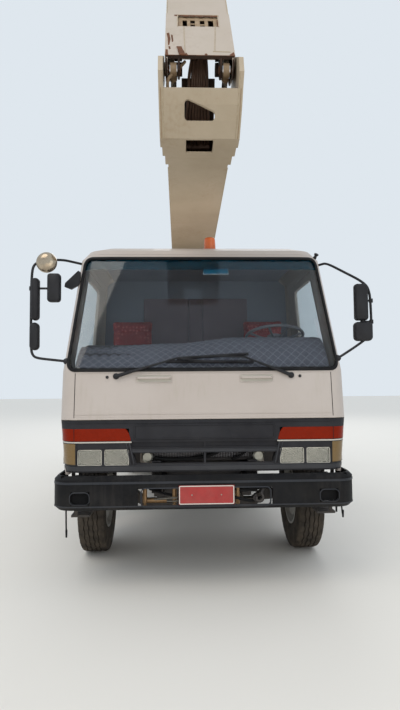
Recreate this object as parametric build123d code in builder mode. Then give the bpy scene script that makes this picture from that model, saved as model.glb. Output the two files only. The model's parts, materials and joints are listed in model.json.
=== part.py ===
"""A cab-over truck with an articulated aerial work platform, parked with its upper boom half raised.

The front of the truck looks along -Y and the driver sits on the +X side. Stations along the truck are
measured backwards from the face of the front bumper, and station() turns one into a Y coordinate. The
origin is on the ground, under the middle of the whole machine. All sizes are in millimetres.
"""
import math
import os

from build123d import *

os.makedirs("parts", exist_ok=True)

# Driving sizes of the whole machine
MIDDLE_STATION = 3720
TYRE_RADIUS = 510
TYRE_WIDTH = 250
FRONT_AXLE = 1230
REAR_AXLE = 6030
FRONT_WHEEL_X = 1000
REAR_TYRE_X = (755, 1060)
KINGPIN_X = 800
BUMPER_HALF = 1180
DECK_HALF = 1200
FRAME_TOP = 1000
DECK_TOP = 1215

# Cab body: height, front station, half width and front corner radius of each section
CAB_SECTIONS = (
    (900, 70, 1112, 150),
    (1335, 45, 1142, 150),
    (1715, 95, 1140, 150),
    (2700, 450, 1056, 150),
    (2790, 530, 1000, 150),
    (2835, 640, 910, 150),
    (2860, 810, 780, 150),
)
CAB_REAR = 1850
CAB_WALL = 36
CAB_FLOOR = (1120, 1160)
ARCH = 606
GRILLE_TOP = 1333
GRILLE_LOW = 925
GRILLE_DEPTH = 150

# Booms: pivots as (station, height), angles in degrees above the horizontal
BOOM_PIVOT = (6000, 3050)
BOOM_RISE = 3.8
BOOM_HALF = 225
BOOM_LOW, BOOM_HIGH = -200, 200
ELBOW = (-450, 3850)
UPPER_RISE = 55.0
UPPER_HALF = 226
UPPER_LOW, UPPER_HIGH = -227, 173
UPPER_LENGTH = 5400
TIP_REACH = 6150
SLEW_STATION = 5700
BOOM_ASIDE = -45
PLATE = 10
FIT = 0.06

SHOWN = []


def station(s):
    """The Y coordinate of a station measured back from the bumper's face."""
    return s - MIDDLE_STATION


def block(x, s, z, mode=Mode.ADD):
    """A box between two x values, two stations and two heights."""
    centre = (sum(x) / 2, station(sum(s) / 2), sum(z) / 2)
    with Locations(centre):
        Box(abs(x[1] - x[0]), abs(s[1] - s[0]), abs(z[1] - z[0]), mode=mode)


def blocks(rows, mode=Mode.ADD):
    """Boxes from rows of (low x, high x, low station, high station, low z, high z)."""
    for x0, x1, s0, s1, z0, z1 in rows:
        block((x0, x1), (s0, s1), (z0, z1), mode)


def both_sides(rows, mode=Mode.ADD):
    """Boxes as in blocks(), and the same boxes mirrored to the other side."""
    blocks(rows, mode)
    blocks([(-x1, -x0, *rest) for x0, x1, *rest in rows], mode)


def side_plate(points, x, mode=Mode.ADD, corner=0):
    """A flat plate between two x values whose outline is given as (station, height) points."""
    with BuildSketch(Plane.YZ.offset(min(x))) as outline:
        with BuildLine():
            Polyline(*[(station(s), z) for s, z in points], close=True)
        make_face()
        if corner:
            fillet(outline.vertices(), corner)
    extrude(outline.sketch, amount=abs(x[1] - x[0]), mode=mode)


def cross_tube(x, s, z, radius, mode=Mode.ADD):
    """A round bar along X between two x values, centred on a station and a height."""
    with Locations(Location((sum(x) / 2, station(s), z), (0, 90, 0))):
        Cylinder(radius, abs(x[1] - x[0]), mode=mode)


def post(x, s, z, radius, mode=Mode.ADD):
    """An upright round bar between two heights."""
    with Locations((x, station(s), sum(z) / 2)):
        Cylinder(radius, abs(z[1] - z[0]), mode=mode)


def long_tube(x, s, z, radius, mode=Mode.ADD):
    """A round bar along the truck between two stations."""
    with Locations(Location((x, station(sum(s) / 2), z), (90, 0, 0))):
        Cylinder(radius, abs(s[1] - s[0]), mode=mode)


def pipe(points, radius, corner):
    """A bent round bar through (x, station, z) points."""
    path = [(x, station(s), z) for x, s, z in points]
    with BuildLine() as line:
        if len(path) > 2:
            FilletPolyline(*path, radius=corner)
        else:
            Line(*path)
    start = line.line @ 0
    with BuildSketch(Plane(origin=start, z_dir=line.line % 0)) as section:
        Circle(radius)
    sweep(section.sketch, path=line.line)


def keep(name, made, aside=0):
    """Labels a finished piece, moved sideways where it stands beside the truck's middle, and writes it."""
    piece = made.part.moved(Location((aside, 0, 0)))
    piece.label = name
    export_step(piece, f"parts/{name}.step")
    SHOWN.append(piece)


def along_boom(u, v):
    """Station and height of a point u forward along the lower boom and v above its pivot line."""
    a = math.radians(BOOM_RISE)
    return (
        BOOM_PIVOT[0] - u * math.cos(a) + v * math.sin(a),
        BOOM_PIVOT[1] + u * math.sin(a) + v * math.cos(a),
    )


def along_upper(p, q):
    """Station and height of a point p up along the upper boom and q above the elbow's axis."""
    a = math.radians(UPPER_RISE)
    return (
        ELBOW[0] + p * math.cos(a) - q * math.sin(a),
        ELBOW[1] + p * math.sin(a) + q * math.cos(a),
    )


def boom_point(where, pairs):
    """Turns pairs along a boom into (station, height) points."""
    return [where(*pair) for pair in pairs]


# Chassis
RAIL_X = (345, 420)
RAIL_LOW = 750
CROSS_STATIONS = (420, 1950, 3000, 4000, 5000, 6900, 8020)


def frame_rails():
    """Two channel rails joined by cross members."""
    with BuildPart() as made:
        both_sides([(*RAIL_X, 130, 8140, RAIL_LOW, FRAME_TOP)])
        both_sides([(RAIL_X[0] - 1, RAIL_X[1] - 8, 129, 8141, RAIL_LOW + 8, FRAME_TOP - 8)], Mode.SUBTRACT)
        both_sides([(RAIL_X[1] - 9, RAIL_X[1], 130, 8140, RAIL_LOW, FRAME_TOP)])
        for s in CROSS_STATIONS:
            block((-RAIL_X[1] + 2, RAIL_X[1] - 2), (s - 40, s + 40), (RAIL_LOW + 40, FRAME_TOP - 60))
    keep("frame_rails", made)


SPRING_X = 383
SPRINGS = (
    # axle station, half length, axle top height, number of leaves
    (FRONT_AXLE, 700, 585, 5),
    (REAR_AXLE, 750, 640, 7),
)
LEAF = 14


def leaf_springs():
    """Stacked leaf packs, two at each axle, with the hangers that carry their ends."""
    with BuildPart() as made:
        for axle, half, low, leaves in SPRINGS:
            for side in (-1, 1):
                x = (side * SPRING_X - 38, side * SPRING_X + 38)
                for leaf in range(leaves):
                    reach = half * (1 - 0.12 * (leaves - 1 - leaf))
                    block(x, (axle - reach, axle + reach), (low + leaf * LEAF, low + (leaf + 1) * LEAF))
                for end in (-1, 1):
                    s = axle + end * (half - 45)
                    block(x, (s - 45, s + 45), (low + leaves * LEAF - 2, RAIL_LOW))
    keep("leaf_springs", made)


def front_axle():
    """Forged beam that drops under the engine, with an eye for each kingpin."""
    beam = [(-740, 560), (-640, 575), (-520, 480), (520, 480), (640, 575), (740, 560),
            (740, 470), (640, 465), (500, 390), (-500, 390), (-640, 465), (-740, 470)]
    with BuildPart() as made:
        with BuildSketch(Plane.XZ.offset(-station(FRONT_AXLE) - 50)):
            with BuildLine():
                Polyline(*beam, close=True)
            make_face()
        extrude(amount=100)
        for side in (-1, 1):
            post(side * KINGPIN_X, FRONT_AXLE, (455, 565), 62)
            block((side * 730, side * 790), (FRONT_AXLE - 50, FRONT_AXLE + 50), (465, 560))
            block((side * 340, side * 425), (FRONT_AXLE - 60, FRONT_AXLE + 60), (475, SPRINGS[0][2]))
        for side in (-1, 1):
            post(side * KINGPIN_X, FRONT_AXLE, (440, 580), 22 + FIT, Mode.SUBTRACT)
    keep("front_axle", made)


def rear_axle():
    """Banjo casing with its tubes, spring seats and a stub for each pair of wheels."""
    with BuildPart() as made:
        with Locations((0, station(REAR_AXLE), TYRE_RADIUS)):
            Sphere(215)
        cross_tube((-640, 640), REAR_AXLE, TYRE_RADIUS, 85)
        cross_tube((-900, 900), REAR_AXLE, TYRE_RADIUS, 50 - FIT)
        both_sides([(330, 436, REAR_AXLE - 80, REAR_AXLE + 80, TYRE_RADIUS, SPRINGS[1][2])])
        long_tube(0, (REAR_AXLE - 380, REAR_AXLE - 120), TYRE_RADIUS + 40, 90)
    keep("rear_axle", made)


def driveline():
    """Engine as one plain mass, gearbox behind it and the shaft back to the axle."""
    with BuildPart() as made:
        block((-330, 330), (620, 1880), (615, 1095))
        block((-190, 190), (1880, 2700), (560, 900))
        with BuildLine() as line:
            Line((0, station(2690), 700), (0, station(REAR_AXLE - 383), 556))
        with BuildSketch(Plane(origin=line.line @ 0, z_dir=line.line % 0)):
            Circle(55)
        sweep(path=line.line)
    with BuildPart() as cut:
        add(made.part)
        block((-300, 300), (FRONT_AXLE - 90, FRONT_AXLE + 90), (560, 640), Mode.SUBTRACT)
        for s in CROSS_STATIONS[1:5]:
            block((-430, 430), (s - 48, s + 48), (RAIL_LOW + 32, FRAME_TOP - 52), Mode.SUBTRACT)
    keep("driveline", cut)


def side_tanks():
    """Fuel tank on the driver's side, battery box and air tanks on the other, on brackets from the rail."""
    with BuildPart() as made:
        with BuildSketch(Plane.XZ.offset(-station(3260))) as tank:
            with Locations((820, 780)):
                RectangleRounded(560, 470, 90)
        extrude(amount=850)
        block((-1100, -560), (2400, 2850), (620, 980))
        for z in (680, 900):
            long_tube(-820, (2900, 3180), z, 95)
        blocks([(421, 545, s, s + 50, 800, 900) for s in (2500, 3100)])
        blocks([(-730, -421, s, s + 50, 765, 815) for s in (2450, 2700, 3000)])
    keep("side_tanks", made)


# Front of the truck
BUMPER = (645, 907)
BUMPER_OPEN = (672, 808)


def front_bumper():
    """Pressed steel bumper that wraps round its ends, with a winch opening and two lamp pockets."""
    with BuildPart() as made:
        with BuildSketch(Plane.XY.offset(BUMPER[0])) as outer:
            with Locations((0, station(230))):
                Rectangle(2 * BUMPER_HALF, 460)
            fillet(outer.vertices().group_by(Axis.Y)[0], 150)
        extrude(amount=BUMPER[1] - BUMPER[0])
        chamfer(made.faces().sort_by(Axis.Z)[-1].edges().group_by(Axis.Y)[0], 28)
        chamfer(made.faces().sort_by(Axis.Z)[0].edges().group_by(Axis.Y)[0], 28)
        with BuildSketch(Plane.XY.offset(BUMPER[0] - 1)) as inner:
            with Locations((0, station(250))):
                Rectangle(2 * BUMPER_HALF - 80, 422)
            fillet(inner.vertices().group_by(Axis.Y)[0], 110)
        extrude(amount=BUMPER[1] - BUMPER[0] + 2, mode=Mode.SUBTRACT)
        block((-1110, 1110), (34, 300), (BUMPER[0] + 60, BUMPER[1] - 1), Mode.SUBTRACT)
        block((-520, 520), (-5, 60), BUMPER_OPEN, Mode.SUBTRACT)
        both_sides([(885, 1030, -5, 60, 690, 790)], Mode.SUBTRACT)
        both_sides([(300, 344, 30, 330, 800, 890)])
        block((-120, 120), (0, 30), (700, 830))
    keep("front_bumper", made)


def number_plate():
    """Blank plate on the bumper's middle bracket."""
    with BuildPart() as made:
        block((-205, 221), (-10, -1), (686, 830))
    keep("number_plate", made)


def cab_body(grow, low=None, high=None):
    """Ruled body through the cab's sections, moved inwards by a wall's thickness."""
    with BuildPart() as made:
        for z, front, half, corner in CAB_SECTIONS:
            with BuildSketch(Plane.XY.offset(z)) as section:
                with Locations((0, station((front + CAB_REAR) / 2))):
                    Rectangle(2 * (half - grow), CAB_REAR - front - 2 * grow)
                fillet(section.vertices().group_by(Axis.Y)[0], corner - grow)
                fillet(section.vertices().group_by(Axis.Y)[-1], 60 - grow / 2)
        loft(ruled=True)
        if low is not None:
            block((-1300, 1300), (-200, 2200), (0, low), Mode.SUBTRACT)
        if high is not None:
            block((-1300, 1300), (-200, 2200), (high, 4000), Mode.SUBTRACT)
    return made.part


# Openings in the cab's walls, as outlines seen from the front (x, z) or from the side (station, z)
SCREEN = ((-1093, 1722), (1093, 1722), (1006, 2702), (-1006, 2702))
DOOR = ((330, 1165), (330, 1500), (395, 1730), (730, 2650), (1560, 2650), (1560, 1165))
DOOR_WINDOW = ((470, 1760), (775, 2580), (1480, 2580), (1480, 1760))
DOOR_GAP = 10


def front_prism(points, s, corner, mode):
    """A prism along the truck whose outline is given as (x, z) points."""
    with BuildSketch(Plane.XZ.offset(-station(min(s)))) as outline:
        with BuildLine():
            Polyline(*points, close=True)
        make_face()
        fillet(outline.vertices(), corner)
    extrude(outline.sketch, amount=-abs(s[1] - s[0]), mode=mode)


def inset(points, gap):
    """The same outline, moved inwards by a gap all round."""
    turn = sum(a[0] * b[1] - b[0] * a[1] for a, b in zip(points, (*points[1:], points[0])))
    sense = 1 if turn > 0 else -1
    count = len(points)
    lines = []
    for i in range(count):
        (x0, y0), (x1, y1) = points[i], points[(i + 1) % count]
        length = math.hypot(x1 - x0, y1 - y0)
        nx, ny = -(y1 - y0) / length * sense, (x1 - x0) / length * sense
        lines.append((nx, ny, nx * x0 + ny * y0 + gap))
    moved = []
    for i in range(count):
        (a1, b1, c1), (a2, b2, c2) = lines[i - 1], lines[i]
        det = a1 * b2 - a2 * b1
        moved.append(((c1 * b2 - c2 * b1) / det, (a1 * c2 - a2 * c1) / det))
    return moved


CAB_OUTER = cab_body(0)
CAB_INNER = cab_body(CAB_WALL, low=CAB_FLOOR[1], high=CAB_SECTIONS[-1][0] - CAB_WALL)


def cab_shell():
    """Hollow cab: front wall, roof, pillars, back wall and floor, with its windows and door holes cut."""
    with BuildPart() as made:
        add(CAB_OUTER)
        add(CAB_INNER, mode=Mode.SUBTRACT)
        block((-1070, 1070), (GRILLE_DEPTH - 1, CAB_REAR - 40), (800, CAB_FLOOR[0]), Mode.SUBTRACT)
        block((-450, 450), (CAB_REAR - 41, CAB_REAR + 1), (800, CAB_FLOOR[0] - 1), Mode.SUBTRACT)
        block((-1300, 1300), (-10, GRILLE_DEPTH), (800, GRILLE_TOP), Mode.SUBTRACT)
        block((-1060, 1060), (GRILLE_DEPTH, GRILLE_DEPTH + 12), (CAB_FLOOR[0], GRILLE_TOP + 12))
        block((-1060, 1060), (75, GRILLE_DEPTH + 12), (GRILLE_TOP, GRILLE_TOP + 12))
        front_prism(SCREEN, (0, 640), 70, Mode.SUBTRACT)
        for x in ((-1300, -850), (850, 1300)):
            side_plate(DOOR, x, Mode.SUBTRACT, 40)
        cross_tube((-1300, 1300), FRONT_AXLE, TYRE_RADIUS, ARCH, Mode.SUBTRACT)
        block((-1300, 1300), (CAB_REAR - 500, CAB_REAR + 10), (800, 1010), Mode.SUBTRACT)
        both_sides([(460, 540, 560, 640, 905, CAB_FLOOR[0] + 1)])
        both_sides([(421, 520, 560, 640, 905, 985)])
    keep("cab_shell", made)


def cab_glass():
    """Windscreen, set in the thickness of the front wall."""
    outside = cab_body(8)
    inside = cab_body(16)
    with BuildPart() as made:
        add(outside)
        add(inside, mode=Mode.SUBTRACT)
        with BuildSketch(Plane.XZ.offset(-station(0))) as outline:
            with BuildLine():
                Polyline(*inset(SCREEN, 1), close=True)
            make_face()
            fillet(outline.vertices(), 69)
        extrude(amount=-640, mode=Mode.INTERSECT)
    keep("cab_glass", made)


def doors():
    """Two hollow-backed doors hung on their front edges, each with its own pane."""
    for side, name in ((1, "left"), (-1, "right")):
        across = (side * 700, side * 1300)
        with BuildPart() as door:
            side_plate(inset(DOOR, DOOR_GAP), across, Mode.ADD, 32)
            add(CAB_OUTER, mode=Mode.INTERSECT)
            add(CAB_INNER, mode=Mode.SUBTRACT)
            side_plate(DOOR_WINDOW, across, Mode.SUBTRACT, 50)
            block((side * 700, side * 1300), (300, 1700), (800, CAB_FLOOR[1] + 12), Mode.SUBTRACT)
            cross_tube(across, FRONT_AXLE, TYRE_RADIUS, ARCH + DOOR_GAP, Mode.SUBTRACT)
            block((side * 1090, side * 1132), (1395, 1515), (1600, 1632))
        keep(f"door_{name}", door)
        with BuildPart() as pane:
            side_plate(inset(DOOR_WINDOW, 1), across, Mode.ADD, 49)
            add(GLASS_OUTER, mode=Mode.INTERSECT)
            add(GLASS_INNER, mode=Mode.SUBTRACT)
        keep(f"door_glass_{name}", pane)


GLASS_OUTER = cab_body(12)
GLASS_INNER = cab_body(20)

# Lamps and grille, as (low x, high x, low z, high z) on the +X side
HEADLAMPS = ((590, 784, 975, 1104), (800, 992, 975, 1104))
TURN_LAMP = (590, 1125, 1166, 1264)
CORNER_LAMP = (1004, 1125, 984, 1150)
GRILLE_OPEN = ((-575, 1112), (575, 1112), (535, 992), (-535, 992))
GRILLE_RECESS = ((-590, 1158), (590, 1158), (577, 1118), (-577, 1118))
SLAT = (1096, 1112)


def grille():
    """Dark nose panel below the front wall, with its slats, lamp pockets and the lip along its foot."""
    with BuildPart() as made:
        add(CAB_OUTER)
        block((-1300, 1300), (-10, GRILLE_DEPTH - 6), (GRILLE_LOW, GRILLE_TOP - 5), Mode.INTERSECT)
        front_prism(GRILLE_OPEN, (-10, GRILLE_DEPTH + 10), 12, Mode.SUBTRACT)
        front_prism(GRILLE_RECESS, (-10, 75), 8, Mode.SUBTRACT)
        for x0, x1, z0, z1 in (*HEADLAMPS, TURN_LAMP, CORNER_LAMP):
            for side in (-1, 1):
                block((side * x0, side * x1), (-10, 120), (z0, z1), Mode.SUBTRACT)
        both_sides([(1060, 1125, 60, GRILLE_DEPTH + 20, z0, z1) for _, _, z0, z1 in (TURN_LAMP, CORNER_LAMP)],
                   Mode.SUBTRACT)
        block((-1000, 1000), (100, 200), (GRILLE_LOW, 1003), Mode.SUBTRACT)
        block((-1000, 1000), (121, 200), (1160, GRILLE_TOP), Mode.SUBTRACT)
        block((-560, 560), (60, 78), SLAT)
        block((-8, 8), (64, 130), (990, 1160))
    keep("grille", made)


def lamps():
    """Twin rectangular headlamps, the long turn lamps above them and the corner lamps beside them."""
    with BuildPart() as heads:
        for x0, x1, z0, z1 in HEADLAMPS:
            for side in (-1, 1):
                block((side * (x0 + 1), side * (x1 - 1)), (72, 119), (z0 + 1, z1 - 1))
    keep("headlamps", heads)
    for name, (x0, x1, z0, z1) in (("turn_lamps", TURN_LAMP), ("corner_lamps", CORNER_LAMP)):
        with BuildPart() as made:
            for side in (-1, 1):
                block((side * (x0 + 1), side * (x1 + 10)), (-10, 119), (z0 + 1, z1 - 1))
            add(CAB_OUTER, mode=Mode.INTERSECT)
            block((-1058, 1058), (62 + 40, 130), (900, 1300), Mode.SUBTRACT)
        keep(name, made)


DASH = ((215, 1180), (200, 1725), (330, 1862), (520, 1950), (640, 1930), (690, 1800), (600, 1180))


def dashboard():
    """Dashboard with its raised padded top, and the engine cover between the seats."""
    with BuildPart() as made:
        side_plate(DASH, (-1000, 1000))
        block((-300, 300), (560, 1700), (1161, 1470))
    with BuildPart() as cut:
        add(made.part)
        add(CAB_INNER, mode=Mode.INTERSECT)
    keep("dashboard", cut)


SEATS = ((690, 500), (-690, 500))


def seats():
    """Two seats, each a cushion with a back and a head pad."""
    with BuildPart() as made:
        for x, width in SEATS:
            block((x - width / 2 + 60, x + width / 2 - 60), (1010, 1430), (1162, 1531))
            block((x - width / 2, x + width / 2), (930, 1470), (1530, 1690))
            side_plate([(1380, 1680), (1470, 2310), (1590, 2310), (1520, 1680)], (x - 240, x + 240))
    keep("seats", made)


WHEEL_CENTRE = (685, 760, 2040)


def steering_wheel():
    """Steering wheel and column, raked back towards the driver."""
    x, s, z = WHEEL_CENTRE
    tilt = Location((x, station(s), z), (-17, 0, 0))
    with BuildPart() as made:
        with Locations(tilt):
            Torus(262, 14)
            Cylinder(45, 40)
            Box(514, 36, 12)
        with Locations(tilt * Location((0, -126, 0))):
            Box(36, 252, 12)
        pipe([(x, s - 10, z - 16), (x, 640, 1780)], 24, 1)
    with BuildPart() as cut:
        add(made.part)
        add(DASH_CUT, mode=Mode.SUBTRACT)
    keep("steering_wheel", cut)


def dash_cut():
    """The dashboard's own space, which the column stops at."""
    with BuildPart() as made:
        side_plate([(s, z) for s, z in DASH], (-1100, 1100))
    return made.part


DASH_CUT = dash_cut()

# Mirror arms as (x, station, height): the driver's side and, with a round mirror on top, the passenger's side
ARM_LEFT = ((1030, 575, 2660), (1114, 500, 2672), (1325, 200, 2450), (1392, 190, 2031), (1332, 192, 1957),
            (1110, 195, 1812))
ARM_RIGHT = ((-1030, 575, 2672), (-1190, 400, 2676), (-1345, 205, 2620), (-1392, 190, 1872), (-1340, 190, 1824),
             (-1110, 195, 1798))


def mirrors():
    """Hoop arms with the flat, wide-angle and round mirrors that they carry on each side of the cab."""
    with BuildPart() as made:
        for arm in (ARM_LEFT, ARM_RIGHT):
            pipe(arm, 11, 22)
        blocks([(1253, 1364, 150, 215, 2120, 2425), (1243, 1397, 150, 215, 1950, 2108),
                (1345, 1400, 178, 200, 2270, 2300), (1300, 1330, 170, 195, 2100, 2130),
                (-1262, -1155, 150, 205, 2278, 2512), (-1392, -1325, 165, 205, 1885, 2475),
                (-1330, -1255, 178, 194, 2380, 2400), (-1180, -1040, 410, 465, 2430, 2590),
                (-1060, -1020, 425, 450, 2480, 2500)])
        with Locations(Location((-1273, station(200), 2606), (90, 0, 0))):
            Cylinder(85, 40)
    with BuildPart() as cut:
        add(made.part)
        add(CAB_OUTER, mode=Mode.SUBTRACT)
    keep("mirrors", cut)


WIPER_PIVOT = (694, 1672)
WIPER_TIPS = ((-302, 1797, -302, 398, 1786), (334, 1820, -215, 366, 1832))


def wipers():
    """Two arms with their blades, laid across the foot of the windscreen."""
    with BuildPart() as made:
        for side, (x1, z1, blade0, blade1, height) in zip((-1, 1), WIPER_TIPS):
            x0 = side * WIPER_PIVOT[0]
            pipe([(x0, 66, WIPER_PIVOT[1]), (x1, 96, z1)], 9, 1)
            with Locations(Location((x0, station(71), WIPER_PIVOT[1]), (90, 0, 0))):
                Cylinder(20, 27)
            block((blade0, blade1), (88, 108), (height - 8, height + 8))
    keep("wipers", made)


def beacon():
    """Amber lamp on the roof, beside the boom."""
    with BuildPart() as made:
        post(100, 900, (2860, 2882), 70)
        post(100, 900, (2882, 3004), 56)
        post(100, 900, (3004, 3010), 40)
    keep("beacon", made)


# Load bed, outrigger casings and what hangs from them
CASINGS = (2270, 7560)
CASING_HALF = 100
CASING_Z = (1012, 1168)
CASING_WALL = 10
BED = (2060, 8200)
PEDESTAL = 430
SPIGOT = 120


def deck():
    """Chequered steel bed on its subframe, with the slewing pedestal and its gussets."""
    with BuildPart() as made:
        block((-DECK_HALF, DECK_HALF), BED, (DECK_TOP - 25, DECK_TOP))
        both_sides([(DECK_HALF - 60, DECK_HALF, *BED, DECK_TOP - 110, DECK_TOP - 25),
                    (*RAIL_X, 2440, 7430, FRAME_TOP + 1, DECK_TOP - 25)])
        blocks([(-DECK_HALF + 60, DECK_HALF - 60, s, s + 70, DECK_TOP - 100, DECK_TOP - 25)
                for s in (2600, 3400, 4200, 5000, 6400, 7100, 7900)])
        for s in CASINGS:
            block((-1300, 1300), (s - CASING_HALF - 8, s + CASING_HALF + 8), (900, DECK_TOP - 26), Mode.SUBTRACT)
        post(BOOM_ASIDE, SLEW_STATION, (FRAME_TOP + 1, 1330), PEDESTAL)
        post(BOOM_ASIDE, SLEW_STATION, (FRAME_TOP, 1305), PEDESTAL - 40, Mode.SUBTRACT)
        post(BOOM_ASIDE, SLEW_STATION, (1300, 1331), SPIGOT, Mode.SUBTRACT)
    keep("deck", made)


def outrigger_casings():
    """Two box casings across the frame that house the sliding outrigger beams."""
    with BuildPart() as made:
        for s in CASINGS:
            block((-1080, 1080), (s - CASING_HALF, s + CASING_HALF), CASING_Z)
            block((-1081, 1081), (s - CASING_HALF + CASING_WALL, s - 4),
                  (CASING_Z[0] + CASING_WALL, CASING_Z[1] - CASING_WALL), Mode.SUBTRACT)
            block((-1081, 1081), (s + 4, s + CASING_HALF - CASING_WALL),
                  (CASING_Z[0] + CASING_WALL, CASING_Z[1] - CASING_WALL), Mode.SUBTRACT)
            both_sides([(*RAIL_X, s - 90, s + 90, FRAME_TOP + 1, CASING_Z[0])])
    keep("outrigger_casings", made)


BEAM_HALF = 36
JACK_X = 1145
JACK_OUTER = 52
JACK_BORE = 44
FOOT_Z = 330
JACK_NAMES = (("front", CASINGS[0]), ("rear", CASINGS[1]))


def outriggers():
    """Four sliding beams, each with a jack tube at its end and a leg that comes down out of it."""
    for end, s in JACK_NAMES:
        for side, hand in ((1, "left"), (-1, "right")):
            lane = s - 47 * side
            low, high = CASING_Z[0] + 17, CASING_Z[1] - 17
            with BuildPart() as beam:
                block((side * -250, side * 1095), (lane - BEAM_HALF, lane + BEAM_HALF), (low, high))
                post(side * JACK_X, lane, (560, 1165), JACK_OUTER)
                post(side * JACK_X, lane, (559, 1150), JACK_BORE, Mode.SUBTRACT)
            keep(f"beam_{end}_{hand}", beam)
            with BuildPart() as jack:
                post(side * JACK_X, lane, (FOOT_Z + 30, 1120), JACK_BORE - 6)
                post(side * JACK_X, lane, (FOOT_Z, FOOT_Z + 30), 95)
            keep(f"jack_{end}_{hand}", jack)


def lockers():
    """Tool lockers under the bed, with their lids on the outside."""
    with BuildPart() as made:
        for s0, s1 in ((4060, 5360),):
            both_sides([(640, 1185, s0, s1, 600, DECK_TOP - 112), (1184, 1196, s0 + 25, s1 - 25, 625, 1080),
                        (421, 641, s0 + 100, s0 + 150, 820, 900), (421, 641, s1 - 150, s1 - 100, 820, 900)])
    keep("lockers", made)


def mudguards():
    """Curved guards over the rear wheels, hung from the bed's cross members."""
    with BuildPart() as made:
        for side in (-1, 1):
            x = (side * 600, side * 1195)
            cross_tube(x, REAR_AXLE, TYRE_RADIUS, 590)
            cross_tube((side * 599, side * 1196), REAR_AXLE, TYRE_RADIUS, 582, Mode.SUBTRACT)
        block((-1300, 1300), (5000, 7000), (-200, 640), Mode.SUBTRACT)
        block((-1300, 1300), (5000, 7000), (DECK_TOP - 112, 2000), Mode.SUBTRACT)
        both_sides([(424, 605, s, s + 45, 960, 995) for s in (5690, 6330)])
    keep("mudguards", made)


def tail_bar():
    """Rear bar that carries the tail lamps, hung under the end of the bed."""
    with BuildPart() as made:
        block((-1120, 1120), (8160, 8310), (560, 690))
        both_sides([(*RAIL_X, 7990, 8165, 600, RAIL_LOW - 1)])
        both_sides([(780, 1060, 8170, 8300, 700, 820), (860, 980, 8180, 8210, 689, 701)])
    keep("tail_bar", made)


REST_STATION = 2180


def boom_rest():
    """Headboard frame behind the cab with the padded cradle that the lower boom lies in."""
    s = (REST_STATION - 40, REST_STATION + 40)
    under = along_boom((BOOM_PIVOT[0] - REST_STATION) / math.cos(math.radians(BOOM_RISE)), BOOM_LOW)[1]
    with BuildPart() as made:
        both_sides([(280, 350, *s, DECK_TOP, under - 60)])
        blocks([(-350, 350, *s, z, z + 60) for z in (1700, 2350)])
        block((-350, 350), s, (under - 110, under - 50))
        block((-200, 200), s, (under - 50, under - 13))
        both_sides([(275, 335, s[1], s[1] + 500, DECK_TOP, DECK_TOP + 60)])
        for side in (-1, 1):
            side_plate([(REST_STATION + 39, 1950), (REST_STATION + 539, 1235), (REST_STATION + 480, 1235),
                        (REST_STATION + 39, 1860)], (side * 280, side * 330))
    keep("boom_rest", made, BOOM_ASIDE)


# Wheels, as (radius, offset from the middle of the tyre)
TYRE_PROFILE = ((300, -104), (420, -125), (494, -119), (510, -92), (510, 92), (494, 119), (420, 125), (300, 104))
TYRE_SIDES = 48
BEAD_RADIUS = 290
RIM_RADIUS = 289
SPINDLE = 35
STUB = 50


def wheel_ring(profile):
    """A ring turned about the X axis from (radius, offset) points."""
    with BuildSketch(Plane.XZ) as outline:
        with BuildLine():
            Polyline(*[(offset, radius) for radius, offset in profile], close=True)
        make_face()
    with BuildPart() as ring:
        revolve(outline.sketch, axis=Axis.X)
    return ring.part


def tyre_ring():
    """A tyre's carcass as a many-sided ring about the X axis, centred on the origin."""
    with BuildPart() as ring:
        for radius, offset_x in TYRE_PROFILE:
            with BuildSketch(Plane.YZ.offset(offset_x)):
                RegularPolygon(radius, TYRE_SIDES)
        loft(ruled=True)
        with BuildSketch(Plane.YZ.offset(TYRE_PROFILE[1][1] - 1)):
            RegularPolygon(BEAD_RADIUS, TYRE_SIDES)
        extrude(amount=2 * TYRE_WIDTH, mode=Mode.SUBTRACT)
    return ring.part


def rim_profile(dish):
    """Half section of a rim: the well with its flanges, and a disc set in or out from the middle."""
    return ((RIM_RADIUS, -108), (RIM_RADIUS, 108), (272, 108), (262, 90), (250, 40), (250, dish + 8), (215, dish + 12),
            (120, dish + 12), (120, dish - 4), (215, dish - 4), (236, dish - 8), (236, -60), (262, -92), (272, -108))


def wheels():
    """Front wheels on their own, rear wheels in pairs, with tyre and rim as separate pieces."""
    carcass = tyre_ring()
    for side, hand in ((1, "left"), (-1, "right")):
        for end, axle, places in (("front", FRONT_AXLE, ((FRONT_WHEEL_X, 62),)),
                                  ("rear", REAR_AXLE, ((REAR_TYRE_X[0], 84), (REAR_TYRE_X[1], -84)))):
            with BuildPart() as tyre:
                for x, _ in places:
                    with Locations((side * x, station(axle), TYRE_RADIUS)):
                        add(carcass)
            keep(f"tyre_{end}_{hand}", tyre)
            with BuildPart() as rim:
                for x, dish in places:
                    profile = rim_profile(abs(dish))
                    if dish * side < 0:
                        profile = tuple((radius, -offset) for radius, offset in profile)
                    with Locations((side * x, station(axle), TYRE_RADIUS)):
                        add(wheel_ring(profile))
                if end == "front":
                    cross_tube((side * 912, side * 1112), axle, TYRE_RADIUS, 122)
                    cross_tube((side * 912, side * 975), axle, TYRE_RADIUS, 205)
                    cross_tube((side * 911, side * 1072), axle, TYRE_RADIUS, SPINDLE, Mode.SUBTRACT)
                else:
                    cross_tube((side * 660, side * 1075), axle, TYRE_RADIUS, 122)
                    cross_tube((side * 660, side * 800), axle, TYRE_RADIUS, 205)
                    cross_tube((side * 659, side * 905), axle, TYRE_RADIUS, STUB, Mode.SUBTRACT)
                for turn in range(8):
                    angle = math.radians(turn * 45 + 22.5)
                    cross_tube((side * 700 if end == "rear" else side * 985, side * 1200), axle + 178 * math.cos(angle),
                               TYRE_RADIUS + 178 * math.sin(angle), 28, Mode.SUBTRACT)
            keep(f"rim_{end}_{hand}", rim)


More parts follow.
